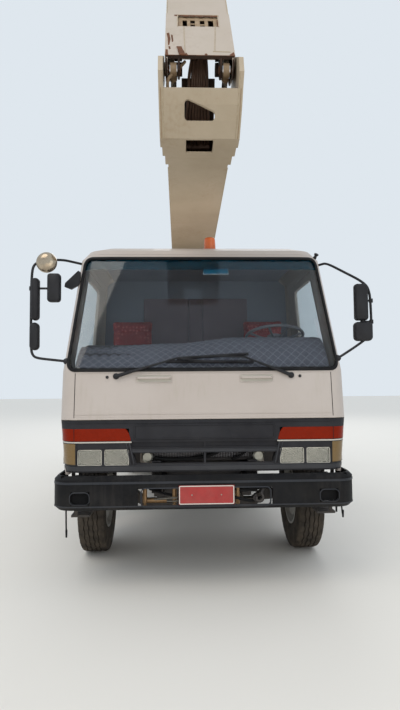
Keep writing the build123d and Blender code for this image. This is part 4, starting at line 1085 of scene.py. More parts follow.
        # The slat and bars take the lighter nose plastic, which paints the highlight along them.
        bars.piece("grille_bars", Paint.nose_highlight, bevel=0.003)
        panel.piece("grille_panel", Paint.nose, bevel=0.002)
        core.box(site(-0.48, 0.250, 0.985), site(0.48, 0.252, 1.165))
        for z in (1.00, 1.145):
            core.tube(each(site, (-0.47, 0.235, z), (0.0, 0.232, z), (0.47, 0.235, z)), 0.013, 10)
        core.piece("radiator_face", Paint.chassis)
        spots = [(site(x / 1000, 0.244, 1.073), (0.0, -1.0, 0.0), (1.0, 0.0, 0.0))
                 for x in range(-468, 469, 13)]
        upright = Shape()
        upright.box((-0.0012, -0.072, 0.0), (0.0012, 0.072, 0.012))
        Repeats.make("radiator_fins", upright, spots, Paint.steel)
        fins.tube(each(site, (-0.40, 0.185, 1.02), (-0.30, 0.170, 1.00), (-0.05, 0.172, 1.012),
                       (0.14, 0.180, 1.06), (0.18, 0.200, 1.12)), 0.014, 12)
        fins.tube(each(site, (0.22, 0.175, 0.998), (0.30, 0.165, 1.030), (0.37, 0.178, 1.095)),
                  0.010, 10)
        fins.tube(each(site, (-0.18, 0.165, 1.122), (0.02, 0.160, 1.116), (0.24, 0.168, 1.126)),
                  0.007, 10)
        fins.piece("nose_pipes", Paint.rubber)
        horn = Shape()
        for x in (-0.455, 0.435):
            horn.lathe([(0.0001, 0.0), (0.034, 0.0), (0.046, -0.010), (0.046, -0.022),
                        (0.030, -0.040), (0.012, -0.060), (0.0001, -0.060)], site(x, 0.150, 1.030),
                       (0, -1, 0), 24, loop=False)
        horn.piece("horns", Paint.zinc)

    def build(self) -> None:
        """Makes the whole nose."""
        self.turn_lamps()
        self.corner_lamps()
        self.heads()
        self.grille()


@dataclass
class Bumper:
    """Bumper trim: rolled edges, pocket rims, fairlead with hook, plate border and feeler rods."""

    low: float = 0.645
    high: float = 0.907
    half: float = 1.180
    corner: float = 0.150
    opening: tuple[Flat, Flat] = ((-0.490, 0.500), (0.672, 0.808))
    plate: tuple[Flat, Flat] = ((-0.205, 0.221), (0.686, 0.830))

    def face(self, x: float, out: float = 0.0) -> float:
        """Station of the bumper's face at a place across it."""
        beyond = abs(x) - (self.half - self.corner)
        if beyond <= 0:
            return -out
        return self.corner - math.sqrt(max(0.0, (self.corner + out) ** 2 - beyond ** 2))

    def strip(self, form: Shape, z: Flat, out: float, half: float = 1.176, steps: int = 60) -> None:
        """Adds a band round the bumper's face between two heights."""
        rings = []
        for i in range(steps + 1):
            x = half * math.sin(math.pi * (i / steps - 0.5))
            rings.append(each(site, (x, self.face(x, out), z[0]), (x, self.face(x, out), z[1]),
                              (x, self.face(x) + 0.012, z[1]), (x, self.face(x) + 0.012, z[0])))
        form.ring_skin(rings)

    def edges(self) -> None:
        """Rolled upper edge, the pressed step below it and the foot's return, in a lighter enamel
        that paints their highlight.
        """
        form = Shape()
        self.strip(form, (self.high - 0.062, self.high - 0.044), 0.004)
        self.strip(form, (self.low + 0.026, self.low + 0.036), 0.003)
        form.piece("bumper_edges", Paint.bumper_edge_highlight, bevel=0.003)

    def frame(self, form: Shape, x: Flat, z: Flat, corner: float, width: float,
              depth: float) -> None:
        """Adds a rounded rim round an opening in the bumper's face."""
        outline = ((x[0], z[0]), (x[1], z[0]), (x[1], z[1]), (x[0], z[1]))
        outer, inner = rounded(outline, -width, corner, 6, 6), rounded(outline, 0.0, corner, 6, 6)
        form.ring_skin([each(site, (a[0], self.face(a[0]) - 0.0015, a[1]),
                             (b[0], self.face(b[0]) - 0.005, b[1]),
                             (b[0], self.face(b[0]) + depth, b[1]),
                             (a[0], self.face(a[0]) + depth, a[1])) for a, b in zip(outer, inner)],
                       loop=True)

    def rims(self) -> None:
        """Rims of the two lamp pockets and of the winch opening, in the lighter enamel that paints
        a highlight on their edges.
        """
        form, dark = Shape(), Shape()
        for side in (-1, 1):
            x = mirrored(side, 0.890, 1.034)
            self.frame(form, x, (0.693, 0.783), 0.034, 0.006, 0.030)
            dark.box(site(x[0] - 0.004, 0.055, 0.688), site(x[1] + 0.004, 0.058, 0.790))
        self.frame(form, self.opening[0], self.opening[1], 0.030, 0.008, 0.020)
        form.piece("bumper_rims", Paint.bumper_edge_highlight)
        dark.piece("pocket_backs", Paint.rubber)

    def plate_border(self) -> None:
        """White pressed border and a faint pressed frame on the blank red plate."""
        (x0, x1), (z0, z1) = self.plate
        form, screws = Shape(), Shape()
        outline = ((x0, z0), (x1, z0), (x1, z1), (x0, z1))
        outer, inner = rounded(outline, 0.0015, 0.014, 6, 4), rounded(outline, 0.0085, 0.014, 6, 4)
        form.ring_skin([each(site, (a[0], -0.0105, a[1]), (a[0], -0.0125, a[1]),
                             (b[0], -0.0125, b[1]), (b[0], -0.0105, b[1]))
                        for a, b in zip(outer, inner)], loop=True)
        form.piece("plate_border", Paint.plate_rim)
        for x in (x0 + 0.10, x1 - 0.10):
            screws.lathe([(0.0001, 0.0), (0.006, 0.0), (0.005, 0.003), (0.0001, 0.004)],
                         site(x, -0.010, (z0 + z1) / 2), (0, -1, 0), 12, loop=False)
        screws.piece("plate_screws", Paint.zinc)

    def winch(self) -> None:
        """What shows in the winch opening: rollers, frame, hoses, and the hook on its rope."""
        iron, rope, hose, roller = Shape(), Shape(), Shape(), Shape()
        for x in (-0.470, -0.240, 0.255):
            roller.bar(site(x, 0.085, 0.668), site(x, 0.085, 0.812), 0.017, 20)
        roller.bar(site(-0.455, 0.088, 0.700), site(-0.300, 0.088, 0.700), 0.019, 20)
        for z in (0.6745, 0.7995):
            iron.box(site(-0.490, 0.070, z), site(-0.225, 0.145, z + 0.009))
        iron.box(site(0.236, 0.110, 0.674), site(0.243, 0.240, 0.806))
        iron.prism([(along(0.150), 0.690), (along(0.240), 0.690), (along(0.240), 0.790),
                    (along(0.190), 0.790)], "X", 0.300, 0.310)
        hose.tube(each(site, (0.225, 0.060, 0.722), (0.270, 0.052, 0.716), (0.330, 0.050, 0.700),
                       (0.395, 0.075, 0.692), (0.440, 0.130, 0.705)), 0.012, 12)
        hose.tube(each(site, (0.225, 0.090, 0.775), (0.300, 0.085, 0.770), (0.390, 0.100, 0.782),
                       (0.480, 0.130, 0.788)), 0.014, 12)
        hose.tube(each(site, (-0.440, 0.120, 0.786), (-0.360, 0.110, 0.760), (-0.280, 0.105, 0.742),
                       (-0.220, 0.090, 0.738)), 0.010, 12)
        rope.tube(each(site, (-0.440, 0.090, 0.700), (-0.380, 0.072, 0.713), (-0.300, 0.060, 0.722),
                       (-0.215, 0.050, 0.728)), 0.007, 10)
        rope.tube(each(site, (-0.430, 0.100, 0.704), (-0.330, 0.082, 0.690),
                       (-0.215, 0.060, 0.700)), 0.006, 10)
        hook = each(site, (0.455, 0.040, 0.790), (0.430, 0.036, 0.762), (0.452, 0.034, 0.736),
                    (0.446, 0.034, 0.700), (0.412, 0.034, 0.690), (0.392, 0.034, 0.712),
                    (0.400, 0.034, 0.732))
        iron.tube(hook, 0.0105, 12)
        iron.tube(each(site, (0.400, 0.046, 0.745), (0.376, 0.046, 0.728), (0.380, 0.046, 0.700),
                       (0.404, 0.046, 0.694)), 0.008, 10)
        iron.piece("winch_iron_and_hook", Paint.chassis, bevel=0.001)
        roller.piece("fairlead_rollers", Paint.roller, bevel=0.003)
        hose.piece("opening_hoses", Paint.rubber)
        rope.piece("winch_rope", Paint.rope)

    def feelers(self) -> None:
        """Thin rubber feelers that hang from the bumper's ends."""
        form = Shape()
        for x, s, top, foot, lean in ((-1.125, 0.30, 0.66, 0.375, 0.004),
                                      (1.098, 0.30, 0.66, 0.545, 0.0),
                                      (1.140, 0.30, 0.66, 0.500, 0.012)):
            form.tube(each(site, (x, s, top), (x, s, (top + foot) / 2), (x + lean, s, foot)),
                      0.0065, 8)
            form.bar(site(x + lean, s, foot + 0.055), site(x + lean, s, foot - 0.004), 0.0095, 10,
                     0.8)
        form.piece("feeler_rods", Paint.rubber)

    def build(self) -> None:
        """Makes the bumper's trim."""
        self.edges()
        self.rims()
        self.plate_border()
        self.winch()
        self.feelers()


@dataclass(frozen=True)
class PatternCoat(Coat):
    """Cloth with small motifs woven into it."""

    motif: str = "b25a58"     # colour of the motifs
    pitch: float = 0.038      # distance between motifs in metres

    def colouring(self, tree: bpy.types.NodeTree,
                  place: bpy.types.NodeSocket) -> bpy.types.NodeSocket | None:
        """Lays pale-edged motifs over the cloth's own colour; see Coat."""
        ground = super().colouring(tree, place)
        cells = add_node(tree, "ShaderNodeTexVoronoi",
                         {"Scale": 1 / self.pitch, "Randomness": 0.35}, {"Vector": place},
                         feature="F1")
        ring = add_node(tree, "ShaderNodeMapRange", {"From Min": 0.20, "From Max": 0.34,
                                                     "To Min": 1.0, "To Max": 0.0},
                        {"Value": cells.outputs["Distance"]})
        return self.mix(tree, ring.outputs[0], ground, linear(self.motif))


@dataclass(frozen=True)
class QuiltCoat(Coat):
    """Quilted cloth whose thread shows along the seams of the UV map."""

    thread: str = "9a98a4"

    def colouring(self, tree: bpy.types.NodeTree,
                  place: bpy.types.NodeSocket) -> bpy.types.NodeSocket | None:
        """Draws the thread where either UV value is near a whole number; see Coat."""
        ground = super().colouring(tree, place)
        flat = add_node(tree, "ShaderNodeSeparateXYZ", {},
                        {0: add_node(tree, "ShaderNodeTexCoord").outputs["UV"]})
        lines = []
        for axis in (0, 1):
            near = add_node(tree, "ShaderNodeMath", {1: 1.0}, {0: flat.outputs[axis]},
                            operation="PINGPONG")
            fold = add_node(tree, "ShaderNodeMath", {1: 1.0}, {0: near.outputs[0]},
                            operation="PINGPONG")
            both = add_node(tree, "ShaderNodeMath", {0: 1.0}, {1: fold.outputs[0]},
                            operation="SUBTRACT")
            least = add_node(tree, "ShaderNodeMath", {}, {0: fold.outputs[0], 1: both.outputs[0]},
                             operation="MINIMUM")
            lines.append(least.outputs[0])
        nearest = add_node(tree, "ShaderNodeMath", {}, {0: lines[0], 1: lines[1]},
                           operation="MINIMUM")
        seam = add_node(tree, "ShaderNodeMapRange", {"From Min": 0.02, "From Max": 0.07,
                                                     "To Min": 0.75, "To Max": 0.0},
                        {"Value": nearest.outputs[0]})
        return self.mix(tree, seam.outputs[0], ground, linear(self.thread))


@dataclass
class Pad:
    """Padded upholstery: a blank swells like stuffed cloth, then its channels are pulled in."""

    name: str
    outline: tuple[Flat, ...]        # side view as (station, height)
    across: Flat                     # from one x to the other
    channels: tuple[Flat, ...]       # (place, axis) of each sewn channel; 0 is across, 2 is height
    coat: Coat
    corner: float = 0.034
    voxel: float = 0.011
    shrink: float = 0.016            # how much smaller than the outline the blank is
    cap: float = 0.024               # how far the cloth may swell
    pressure: float = 4.0
    frames: int = 20                 # length of the simulation
    seam_half: float = 0.024         # how far from a seam the cloth is drawn in
    seam_depth: float = 0.009

    def build(self) -> bpy.types.Object:
        form = Shape()
        middle = (sum(p[0] for p in self.outline) / len(self.outline),
                  sum(p[1] for p in self.outline) / len(self.outline))
        span = [max(abs(p[i] - middle[i]) for p in self.outline) for i in (0, 1)]
        inner = [tuple(middle[i] + (p[i] - middle[i]) * (1 - self.shrink / span[i]) for i in (0, 1))
                 for p in self.outline]
        form.prism([(along(s), z) for s, z in inner], "X", self.across[0] + self.shrink,
                   self.across[1] - self.shrink)
        thing = form.piece(self.name, self.coat, bevel=self.corner, segments=4)
        shell = thing.modifiers.new("cloth blank", "REMESH")
        shell.mode = "VOXEL"
        shell.voxel_size = self.voxel * 1.0
        self.bake(thing)
        self.swell(thing)
        finer = thing.modifiers.new("finer", "SUBSURF")
        finer.levels = finer.render_levels = 1
        self.bake(thing)
        self.pull_in(thing)
        thing.data.shade_smooth()
        return thing

    @staticmethod
    def bake(thing: bpy.types.Object) -> None:
        """Turns what the modifiers make into the piece's own mesh."""
        graph = bpy.context.evaluated_depsgraph_get()
        made = bpy.data.meshes.new_from_object(thing.evaluated_get(graph))
        thing.modifiers.clear()
        old, thing.data = thing.data, made
        if not made.materials:
            made.materials.append(old.materials[0])

    def swell(self, thing: bpy.types.Object) -> None:
        """Blows the blank up as cloth under pressure, no further than the cap."""
        start = [v.co.copy() for v in thing.data.vertices]
        cloth = thing.modifiers.new("stuffing", "CLOTH")
        cloth.settings.use_pressure = True
        cloth.settings.uniform_pressure_force = self.pressure
        cloth.settings.effector_weights.gravity = 0.0
        cloth.point_cache.frame_start = 1
        cloth.point_cache.frame_end = self.frames
        for frame in range(1, self.frames + 1):
            bpy.context.scene.frame_set(frame)
        self.bake(thing)
        for vertex, place in zip(thing.data.vertices, start):
            moved = vertex.co - place
            if moved.length > self.cap:
                vertex.co = place + moved.normalized() * self.cap
        bpy.context.scene.frame_set(1)

    def pull_in(self, thing: bpy.types.Object) -> None:
        """Draws the surface in along each sewn channel."""
        thing.data.update()
        shifts = []
        for vertex in thing.data.vertices:
            depth = 0.0
            for place, axis in self.channels:
                gap = abs(vertex.co[int(axis)] - place)
                if gap < self.seam_half:
                    depth = max(depth, self.seam_depth * (1 - (gap / self.seam_half) ** 0.6))
            shifts.append(vertex.normal * -depth)
        for vertex, shift in zip(thing.data.vertices, shifts):
            vertex.co += shift


@dataclass
class Interior:
    """What shows through the glass: linings, quilted dashboard cover, seats and steering wheel."""

    seat_x: tuple[float, float] = (0.690, -0.690)
    cover_half: float = 1.040
    hump: float = 0.050              # how much higher the cover lies over the dials
    dip: float = 0.022               # how much lower it lies before the passenger
    puff: float = 0.009              # how far it bulges between seams
    cover_grid: tuple[int, int] = (84, 250)
    diamond: float = 0.078
    cover_line: tuple[Flat, ...] = ((0.214, 1.742), (0.262, 1.800), (0.335, 1.874), (0.440, 1.932),
                                    (0.530, 1.962), (0.628, 1.950), (0.668, 1.915), (0.699, 1.800))
    wheel: Point = (0.685, 0.760, 2.040)
    wheel_radius: float = 0.262
    rake: float = 17.0

    cloth: Coat = PatternCoat("woven seat cloth, red with small motifs", "93393c", rough=0.92,
                              specular=0.2, shade="762b30", patch=0.05, amount=0.6, grain=0.003,
                              relief=0.4)
    quilt: Coat = QuiltCoat("quilted cover, dark grey", "686874", rough=0.85, specular=0.2,
                            shade="787986", patch=0.2, amount=0.5, grain=0.002, relief=0.2)
    wall: Coat = Coat("grey moulded lining", "868c9a", rough=0.85, specular=0.2, shade="787e8c",
                      patch=0.3, amount=0.5)
    rear: Coat = Coat("padded vinyl, plum grey", "7f7179", rough=0.8, specular=0.2, shade="6c6068",
                      patch=0.2, amount=0.6)
    grip: Coat = Coat("foamed polyurethane rim, greyed", "6e6e76", rough=0.6, specular=0.3,
                      shade="5c5c64", patch=0.05, amount=0.5)
    mat: Coat = Coat("ribbed floor rubber", "1c1b1b", rough=0.85, specular=0.2, shade="37332e",
                     patch=0.15, amount=0.6)

    def linings(self) -> None:
        """Rear wall, headlining, floor mat and the padded panel on the rear wall."""
        form = Shape()
        form.prism(((-1.06, 1.17), (1.06, 1.17), (0.995, 2.70), (0.92, 2.765), (-0.92, 2.765),
                    (-0.995, 2.70)), "Y", along(1.788), along(1.806))
        form.prism([(along(s), z) for s, z in ((0.70, 2.757), (1.786, 2.757), (1.786, 2.772),
                                               (0.70, 2.772))], "X", -0.92, 0.92)
        form.piece("cab_lining", self.wall, bevel=0.006)
        panel = Shape()
        for low, high in ((-0.590, -0.095), (-0.092, 0.060), (0.063, 0.560)):
            panel.box(site(low, 1.764, 1.95), site(high, 1.789, 2.56))
        panel.piece("rear_wall_panel", self.rear, bevel=0.012, segments=3)
        mat = Shape()
        for low, high in ((-1.04, -0.305), (0.305, 1.04)):
            mat.box(site(low, 0.62, 1.1605), site(high, 1.78, 1.167))
        mat.piece("floor_mats", self.mat, bevel=0.002)
        mirror = Shape()
        mirror.box(site(0.02, 0.585, 2.585), site(0.25, 0.600, 2.645))
        mirror.bar(site(0.135, 0.596, 2.640), site(0.135, 0.700, 2.762), 0.008)
        mirror.piece("inside_mirror", Paint.mirror, bevel=0.006)

    def doors(self) -> None:
        """The card, pull and winder on the inside of each door."""
        for side, body in ((1, "door_left"), (-1, "door_right")):
            card = Shape()
            points = ((0.37, 1.20), (0.37, 1.49), (0.425, 1.70), (1.52, 1.70), (1.52, 1.20))
            card.prism([(along(s), z) for s, z in points], "X", *mirrored(side, 1.092, 1.102))
            x0, x1 = mirrored(side, 1.060, 1.093)
            card.box(site(x0, 0.80, 1.52), site(x1, 1.25, 1.58))
            card.piece(f"door_card_{body[5:]}", self.wall, body, bevel=0.005)
            winder = Shape()
            winder.bar(site(side * 1.092, 0.70, 1.40), site(side * 1.070, 0.70, 1.40), 0.022)
            winder.bar(site(side * 1.074, 0.70, 1.40), site(side * 1.074, 0.78, 1.33), 0.008)
            winder.bar(site(side * 1.076, 0.78, 1.33), site(side * 1.040, 0.78, 1.33), 0.012)
            winder.piece(f"window_winder_{body[5:]}", Paint.black, body, bevel=0.002)

    def cover(self) -> None:
        """The quilted cover over the dashboard, puffed between its crossing seams."""
        line = smooth_path([site(0.0, s, z) for s, z in self.cover_line], 4)
        lengths = [0.0]
        for a, b in zip(line, line[1:]):
            lengths.append(lengths[-1] + (b - a).length)
        rows, columns = self.cover_grid
        form = Shape()
        flat = form.bm.loops.layers.uv.new("UVMap")
        grid, place = [], {}
        for i in range(rows + 1):
            target = lengths[-1] * i / rows
            k = min(max(j for j, v in enumerate(lengths) if v <= target), len(line) - 2)
            part = (target - lengths[k]) / (lengths[k + 1] - lengths[k])
            at, ahead = line[k].lerp(line[k + 1], part), (line[k + 1] - line[k]).normalized()
            out = Vector((0.0, -ahead.z, ahead.y))
            row = []
            for j in range(columns + 1):
                x = self.cover_half * (2 * j / columns - 1)
                u, v = (x + target) / self.diamond, (x - target) / self.diamond
                puff = self.puff * math.sqrt(abs(math.sin(math.pi * u) * math.sin(math.pi * v)))
                edge = min(1.0, min(i, rows - i, j, columns - j) / 4)
                rise = self.hump * min(1.0, max(0.0, (x + 0.15) / 0.40)) * min(1.0,
                                                                               i / (rows * 0.45))
                rise -= self.dip * min(1.0, max(0.0, (-x - 0.30) / 0.50)) * min(1.0,
                                                                                i / (rows * 0.45))
                vertex = form.bm.verts.new(at + out * (0.002 + puff * edge) + Vector((x, 0, rise)))
                place[vertex] = (u, v)
                row.append(vertex)
            grid.append(row)
        for low, high in zip(grid, grid[1:]):
            for a, b, c, d in zip(low, low[1:], high[1:], high):
                face = form.bm.faces.new((a, b, c, d))
                for loop in face.loops:
                    loop[flat].uv = place[loop.vert]
        thing = form.piece("dashboard_cover", self.quilt)
        self.face_up(thing)
        thick = thing.modifiers.new("wadding", "SOLIDIFY")
        thick.thickness = 0.004
        thick.offset = -1.0

    @staticmethod
    def face_up(thing: bpy.types.Object) -> None:
        """Turns an open sheet so that its faces point up."""
        if sum(face.normal.z * face.area for face in thing.data.polygons) < 0:
            thing.data.flip_normals()

    def seats(self) -> None:
        """Two seats, each a cushion and a back on a boxed pedestal."""
        for x, hand in zip(self.seat_x, ("driver", "passenger")):
            base = Shape()
            base.prism([(along(s), z) for s, z in ((1.02, 1.1665), (1.42, 1.1665), (1.40, 1.528),
                                                   (0.99, 1.528))], "X", x - 0.185, x + 0.185)
            base.box(site(x - 0.21, 0.96, 1.524), site(x + 0.21, 1.45, 1.542))
            base.bar(site(x + 0.235, 1.40, 1.60), site(x + 0.245, 1.30, 1.60), 0.012)
            stand = base.piece(f"seat_base_{hand}", Paint.black, bevel=0.008)
            seat = Pad(f"seat_cushion_{hand}", ((0.935, 1.548), (0.928, 1.650), (0.965, 1.700),
                                                (1.380, 1.680), (1.400, 1.548)),
                       (x - 0.25, x + 0.25), ((x - 0.125, 0), (x, 0), (x + 0.125, 0)),
                       self.cloth).build()
            back = Pad(f"seat_back_{hand}", ((1.398, 1.705), (1.478, 2.308), (1.580, 2.308),
                                             (1.515, 1.705)), (x - 0.24, x + 0.24),
                       ((1.86, 2), (2.01, 2), (2.16, 2)), self.cloth).build()
            for piece in (stand, seat, back):
                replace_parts(piece, "seats")

    def steering(self) -> None:
        """Steering wheel with four spokes, a plain horn pad and the column's shroud."""
        x, s, z = self.wheel
        turn = Matrix.Rotation(math.radians(-self.rake), 3, "X")
        centre = Vector(site(x, s, z))
        form = Shape()
        r = 0.0135
        form.lathe([(self.wheel_radius + r * c, r * d) for c, d in circle(12)],
                   tuple(centre), tuple(turn @ Vector((0, 0, 1))), 72)
        for angle in (200, 250, 290, 340):
            a = math.radians(angle)
            points = [centre + turn @ Vector((d * math.cos(a), d * math.sin(a), h))
                      for d, h in ((0.04, -0.030), (0.12, -0.034), (0.20, -0.014),
                                   (self.wheel_radius, 0.0))]
            form.tube([tuple(p) for p in points], 0.0105, 10)
        form.lathe([(0.0, -0.045), (0.052, -0.045), (0.072, -0.020), (0.068, 0.004), (0.040, 0.014),
                    (0.0, 0.016)], tuple(centre), tuple(turn @ Vector((0, 0, 1))), 32, loop=False)
        form.bar(tuple(centre + turn @ Vector((0, 0, -0.045))), site(x, 0.640, 1.832), 0.030, 20,
                 1.35)
        piece = form.piece("steering_wheel_rim", self.grip)
        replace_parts(piece, "steering_wheel")

    def build(self) -> None:
        """Builds the inside of the cab."""
        self.linings()
        self.doors()
        self.cover()
        self.seats()
        self.steering()


@dataclass(frozen=True)
class BoomFrame:
    """Turns distances along the booms into places; they stand a little to the passenger's side."""

    aside: float = -0.045
    pivot: Flat = (6.000, 3.050)
    rise: float = 3.8
    elbow: Flat = (-0.450, 3.850)
    upper_rise: float = 55.0

    def lower(self, x: float, u: float, v: float) -> Point:
        """A place u forward of the tower's pivot and v above the boom's middle line."""
        a = math.radians(self.rise)
        return site(x + self.aside, self.pivot[0] - u * math.cos(a) + v * math.sin(a),
                    self.pivot[1] + u * math.sin(a) + v * math.cos(a))

    def upper(self, x: float, p: float, q: float) -> Point:
        """A place p up from the elbow and q out from its axis towards the front."""
        a = math.radians(self.upper_rise)
        return site(x + self.aside, self.elbow[0] + p * math.cos(a) - q * math.sin(a),
                    self.elbow[1] + p * math.sin(a) + q * math.cos(a))

    def at(self, x: float, s: float, z: float) -> Point:
        """A place by station and height."""
        return site(x + self.aside, s, z)

    def block(self, form: Shape, x: Flat, ends: Flat, q: Flat) -> None:
        """Adds a block on the upper boom between two values of x, p and q."""
        form.ring_skin([each(self.upper, (x[0], p, q[0]), (x[1], p, q[0]), (x[1], p, q[1]),
                             (x[0], p, q[1])) for p in ends])


BOOM = BoomFrame()


def bolt(radius: float = 0.012, height: float = 0.008) -> Shape:
    """A hexagon bolt head on its washer, about the origin with +Z outwards."""
    form = Shape()
    form.bar((0, 0, 0), (0, 0, height * 0.25), radius * 1.35, 12)
    form.bar((0, 0, height * 0.25), (0, 0, height), radius, 6)
    return form


@dataclass
class Elbow:
    """The elbow: hoses, cylinder eyes and pins, pin caps, weld beads and rust."""

    hoses: tuple[tuple[float, ...], ...] = ((-0.092, -0.072, -0.034, 0.0110, 0.004),
                                            (-0.068, -0.046, -0.020, 0.0120, 0.014),
                                            (-0.044, -0.030, -0.006, 0.0100, -0.008),
                                            (-0.020, -0.010, 0.006, 0.0130, 0.010),
                                            (0.005, 0.006, 0.016, 0.0120, -0.004),
                                            (0.032, 0.022, 0.026, 0.0125, 0.012),
                                            (0.058, 0.040, 0.036, 0.0100, 0.000),
                                            (0.082, 0.062, 0.050, 0.0110, 0.008))
    tray: tuple[Flat, ...] = ((0.420, 3.520), (0.100, 3.520), (-0.085, 3.530), (-0.195, 3.602),
                              (-0.285, 3.716), (-0.352, 3.842))
    lug: tuple[Flat, ...] = ((-0.206, 0.165), (-0.060, 0.165), (-0.060, 0.060), (-0.190, 0.020),
                             (-0.262, 0.055), (-0.268, 0.112), (-0.228, 0.148))
    ram_x: float = 0.178
    collar: float = 0.1825           # how far out the collar's face lies
    eye: Flat = (-0.640, 3.730)
    cheek: tuple[Flat, ...] = ((-0.415, 3.922), (-0.495, 3.918), (-0.830, 3.708), (-0.870, 3.590),
                               (-0.800, 3.515), (-0.740, 3.440), (-0.660, 3.369), (-0.560, 3.293))
    stained: Coat = Coat("cream enamel stained by rust", "a08b70", rough=0.6, specular=0.3,
                         shade="6f5438", patch=0.04, amount=0.6, grain=0.003, relief=0.2)
    # Dark brown for old oil on the hose tray, and painted shade on the cylinder lugs between the
    # cheeks.
    grease_and_shade: Coat = Coat("steel, dark brown for old oil and painted shade", "2b201a", rough=0.7, specular=0.3,
                        shade="50382a", patch=0.05, amount=0.6, grain=0.004, relief=0.4)
    bead: Coat = Coat("enamelled weld bead", "b5a78f", rough=0.5, specular=0.3, shade="8d7a5f",
                      patch=0.03, amount=0.7, grain=0.004, relief=0.5)

    def bundle(self) -> None:
        """Hoses from the lower boom, round the elbow and up inside the upper boom."""
        form = Shape()
        for low, x, top, radius, lift in self.hoses:
            points = [BOOM.at(low, 0.44, 3.480 + lift), BOOM.at(low, 0.10, 3.478 + lift),
                      BOOM.at(low, -0.10, 3.490 + lift), BOOM.at(low, -0.235, 3.565 + lift),
                      BOOM.at(x, -0.345, 3.700 + lift), BOOM.at(x, -0.440, 3.830 + lift * 0.5),
                      BOOM.upper(top, 0.120, 0.060 + lift), BOOM.upper(top, 0.300, 0.095 + lift),
                      BOOM.upper(x, 0.560, 0.100), BOOM.upper(x, 0.950, 0.100)]
            form.tube(points, radius, 10, 4)
        for s, z in ((0.36, 3.478), (-0.02, 3.484)):
            form.box(BOOM.at(-0.106, s + 0.014, z - 0.020), BOOM.at(0.096, s - 0.014, z + 0.026))
        thing = form.piece("hose_bundle", Paint.hose, None, smooth=60)
        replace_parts(thing, "elbow_hoses")
        BOOM.at(0, -0.345, 3.700)
        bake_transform(thing)

    def guides(self) -> None:
        """The bent tray that the hoses lie on, and the lugs that hold the cylinders, in a dark
        brown that paints the shade between the cheeks.
        """
        tray = Shape()
        rings = []
        for s, z in self.tray:
            rings.append(each(BOOM.at, (-0.122, s, z), (0.122, s, z), (0.122, s + 0.003, z + 0.004),
                              (-0.122, s + 0.003, z + 0.004)))
        tray.ring_skin(rings)
        tray.piece("hose_tray", self.grease_and_shade, Body.LOWER, smooth=40)
        # Painted shade: the lugs, the walls beside them and the strip along the collar's foot are
        # dark brown for the shade that falls between the cheeks.
        lugs = Shape()
        wall = ((-0.200, 0.160), (0.060, 0.160), (0.060, -0.060), (-0.085, -0.066), (-0.188, 0.022),
                (-0.258, 0.057), (-0.264, 0.110), (-0.226, 0.144))
        for side in (-1, 1):
            for outline, x0, x1 in ((self.lug, 0.1342, 0.1358), (self.lug, 0.1472, 0.1488),
                                    (wall, 0.2160, 0.2176)):
                lugs.ring_skin([[BOOM.upper(side * x, p, q) for p, q in outline] for x in (x0, x1)])
            for x, radius in ((0.1415, 0.0062), (0.222, 0.0052)):
                lugs.chain([BOOM.upper(side * x, p, q) for p, q in self.lug[3:] + self.lug[:1]],
                           radius)
        for i in range(9):
            x = -0.228 + i * 0.0507
            BOOM.block(lugs, (x, x + 0.0507), (-0.2080 - 0.0008 * (i % 2), -0.2058),
                       (0.1600, 0.1828))
        for side in (-1, 1):
            lugs.bar(BOOM.at(side * 0.117, *BOOM.elbow), BOOM.at(side * 0.170, *BOOM.elbow), 0.046,
                     24)
            lugs.ring_skin([each(BOOM.upper, (side * 0.118, p, q), (side * 0.2155, p, q),
                                 (side * 0.2155, p + 0.005, q - 0.005),
                                 (side * 0.118, p + 0.005, q - 0.005))
                            for p, q in ((0.050, 0.036), (0.110, 0.100))])
        lugs.piece("cylinder_lug_rust", self.grease_and_shade, Body.UPPER)
        tube = Shape()
        tube.tube(each(BOOM.at, (-0.100, -0.600, 3.815), (-0.115, -0.612, 3.785),
                       (-0.190, -0.655, 3.690), (-0.226, -0.660, 3.640), (-0.214, -0.600, 3.585)),
                  0.0105, 10)
        tube.bar(BOOM.at(-0.214, -0.606, 3.592), BOOM.at(-0.214, -0.570, 3.560), 0.015, 6)
        tube.piece("grease_pipe", self.stained, Body.LOWER)

    def slot(self) -> None:
        """The notched bracket in the collar's slot, with the rust that hangs over it."""
        comb, fringe = Shape(), Shape()
        for x0, x1, p0, p1 in ((-0.144, 0.144, 0.408, 0.466), (-0.144, -0.112, 0.268, 0.410),
                               (-0.080, -0.056, 0.285, 0.410), (-0.022, 0.014, 0.268, 0.410),
                               (0.048, 0.074, 0.285, 0.410), (0.112, 0.144, 0.268, 0.410),
                               (-0.056, -0.022, 0.335, 0.350), (0.014, 0.048, 0.320, 0.338)):
            BOOM.block(comb, (x0, x1), (p0, p1), (0.166, 0.172))
        comb.piece("slot_bracket", self.stained, Body.UPPER, bevel=0.002)
        edge = (0.452, 0.446, 0.455, 0.440, 0.449, 0.443, 0.456, 0.438, 0.447, 0.452, 0.441, 0.450,
                0.444)
        step = 0.325 / (len(edge) - 1)
        for i, (low, high) in enumerate(zip(edge, edge[1:])):
            x = -0.172 + i * step
            fringe.ring_skin([each(BOOM.upper, (x, low, q), (x + step, high, q),
                                   (x + step, 0.474, q), (x, 0.473, q))
                              for q in (self.collar, 0.1846)])
        for x, p in ((-0.146, 0.300), (0.141, 0.290), (0.141, 0.350)):
            fringe.ring_skin([each(BOOM.upper, (x - 0.004, p - 0.02, q), (x + 0.004, p - 0.025, q),
                                   (x + 0.005, p + 0.04, q), (x - 0.004, p + 0.03, q))
                              for q in (self.collar, 0.1840)])
        fringe.piece("slot_rust", Paint.rust, Body.UPPER)

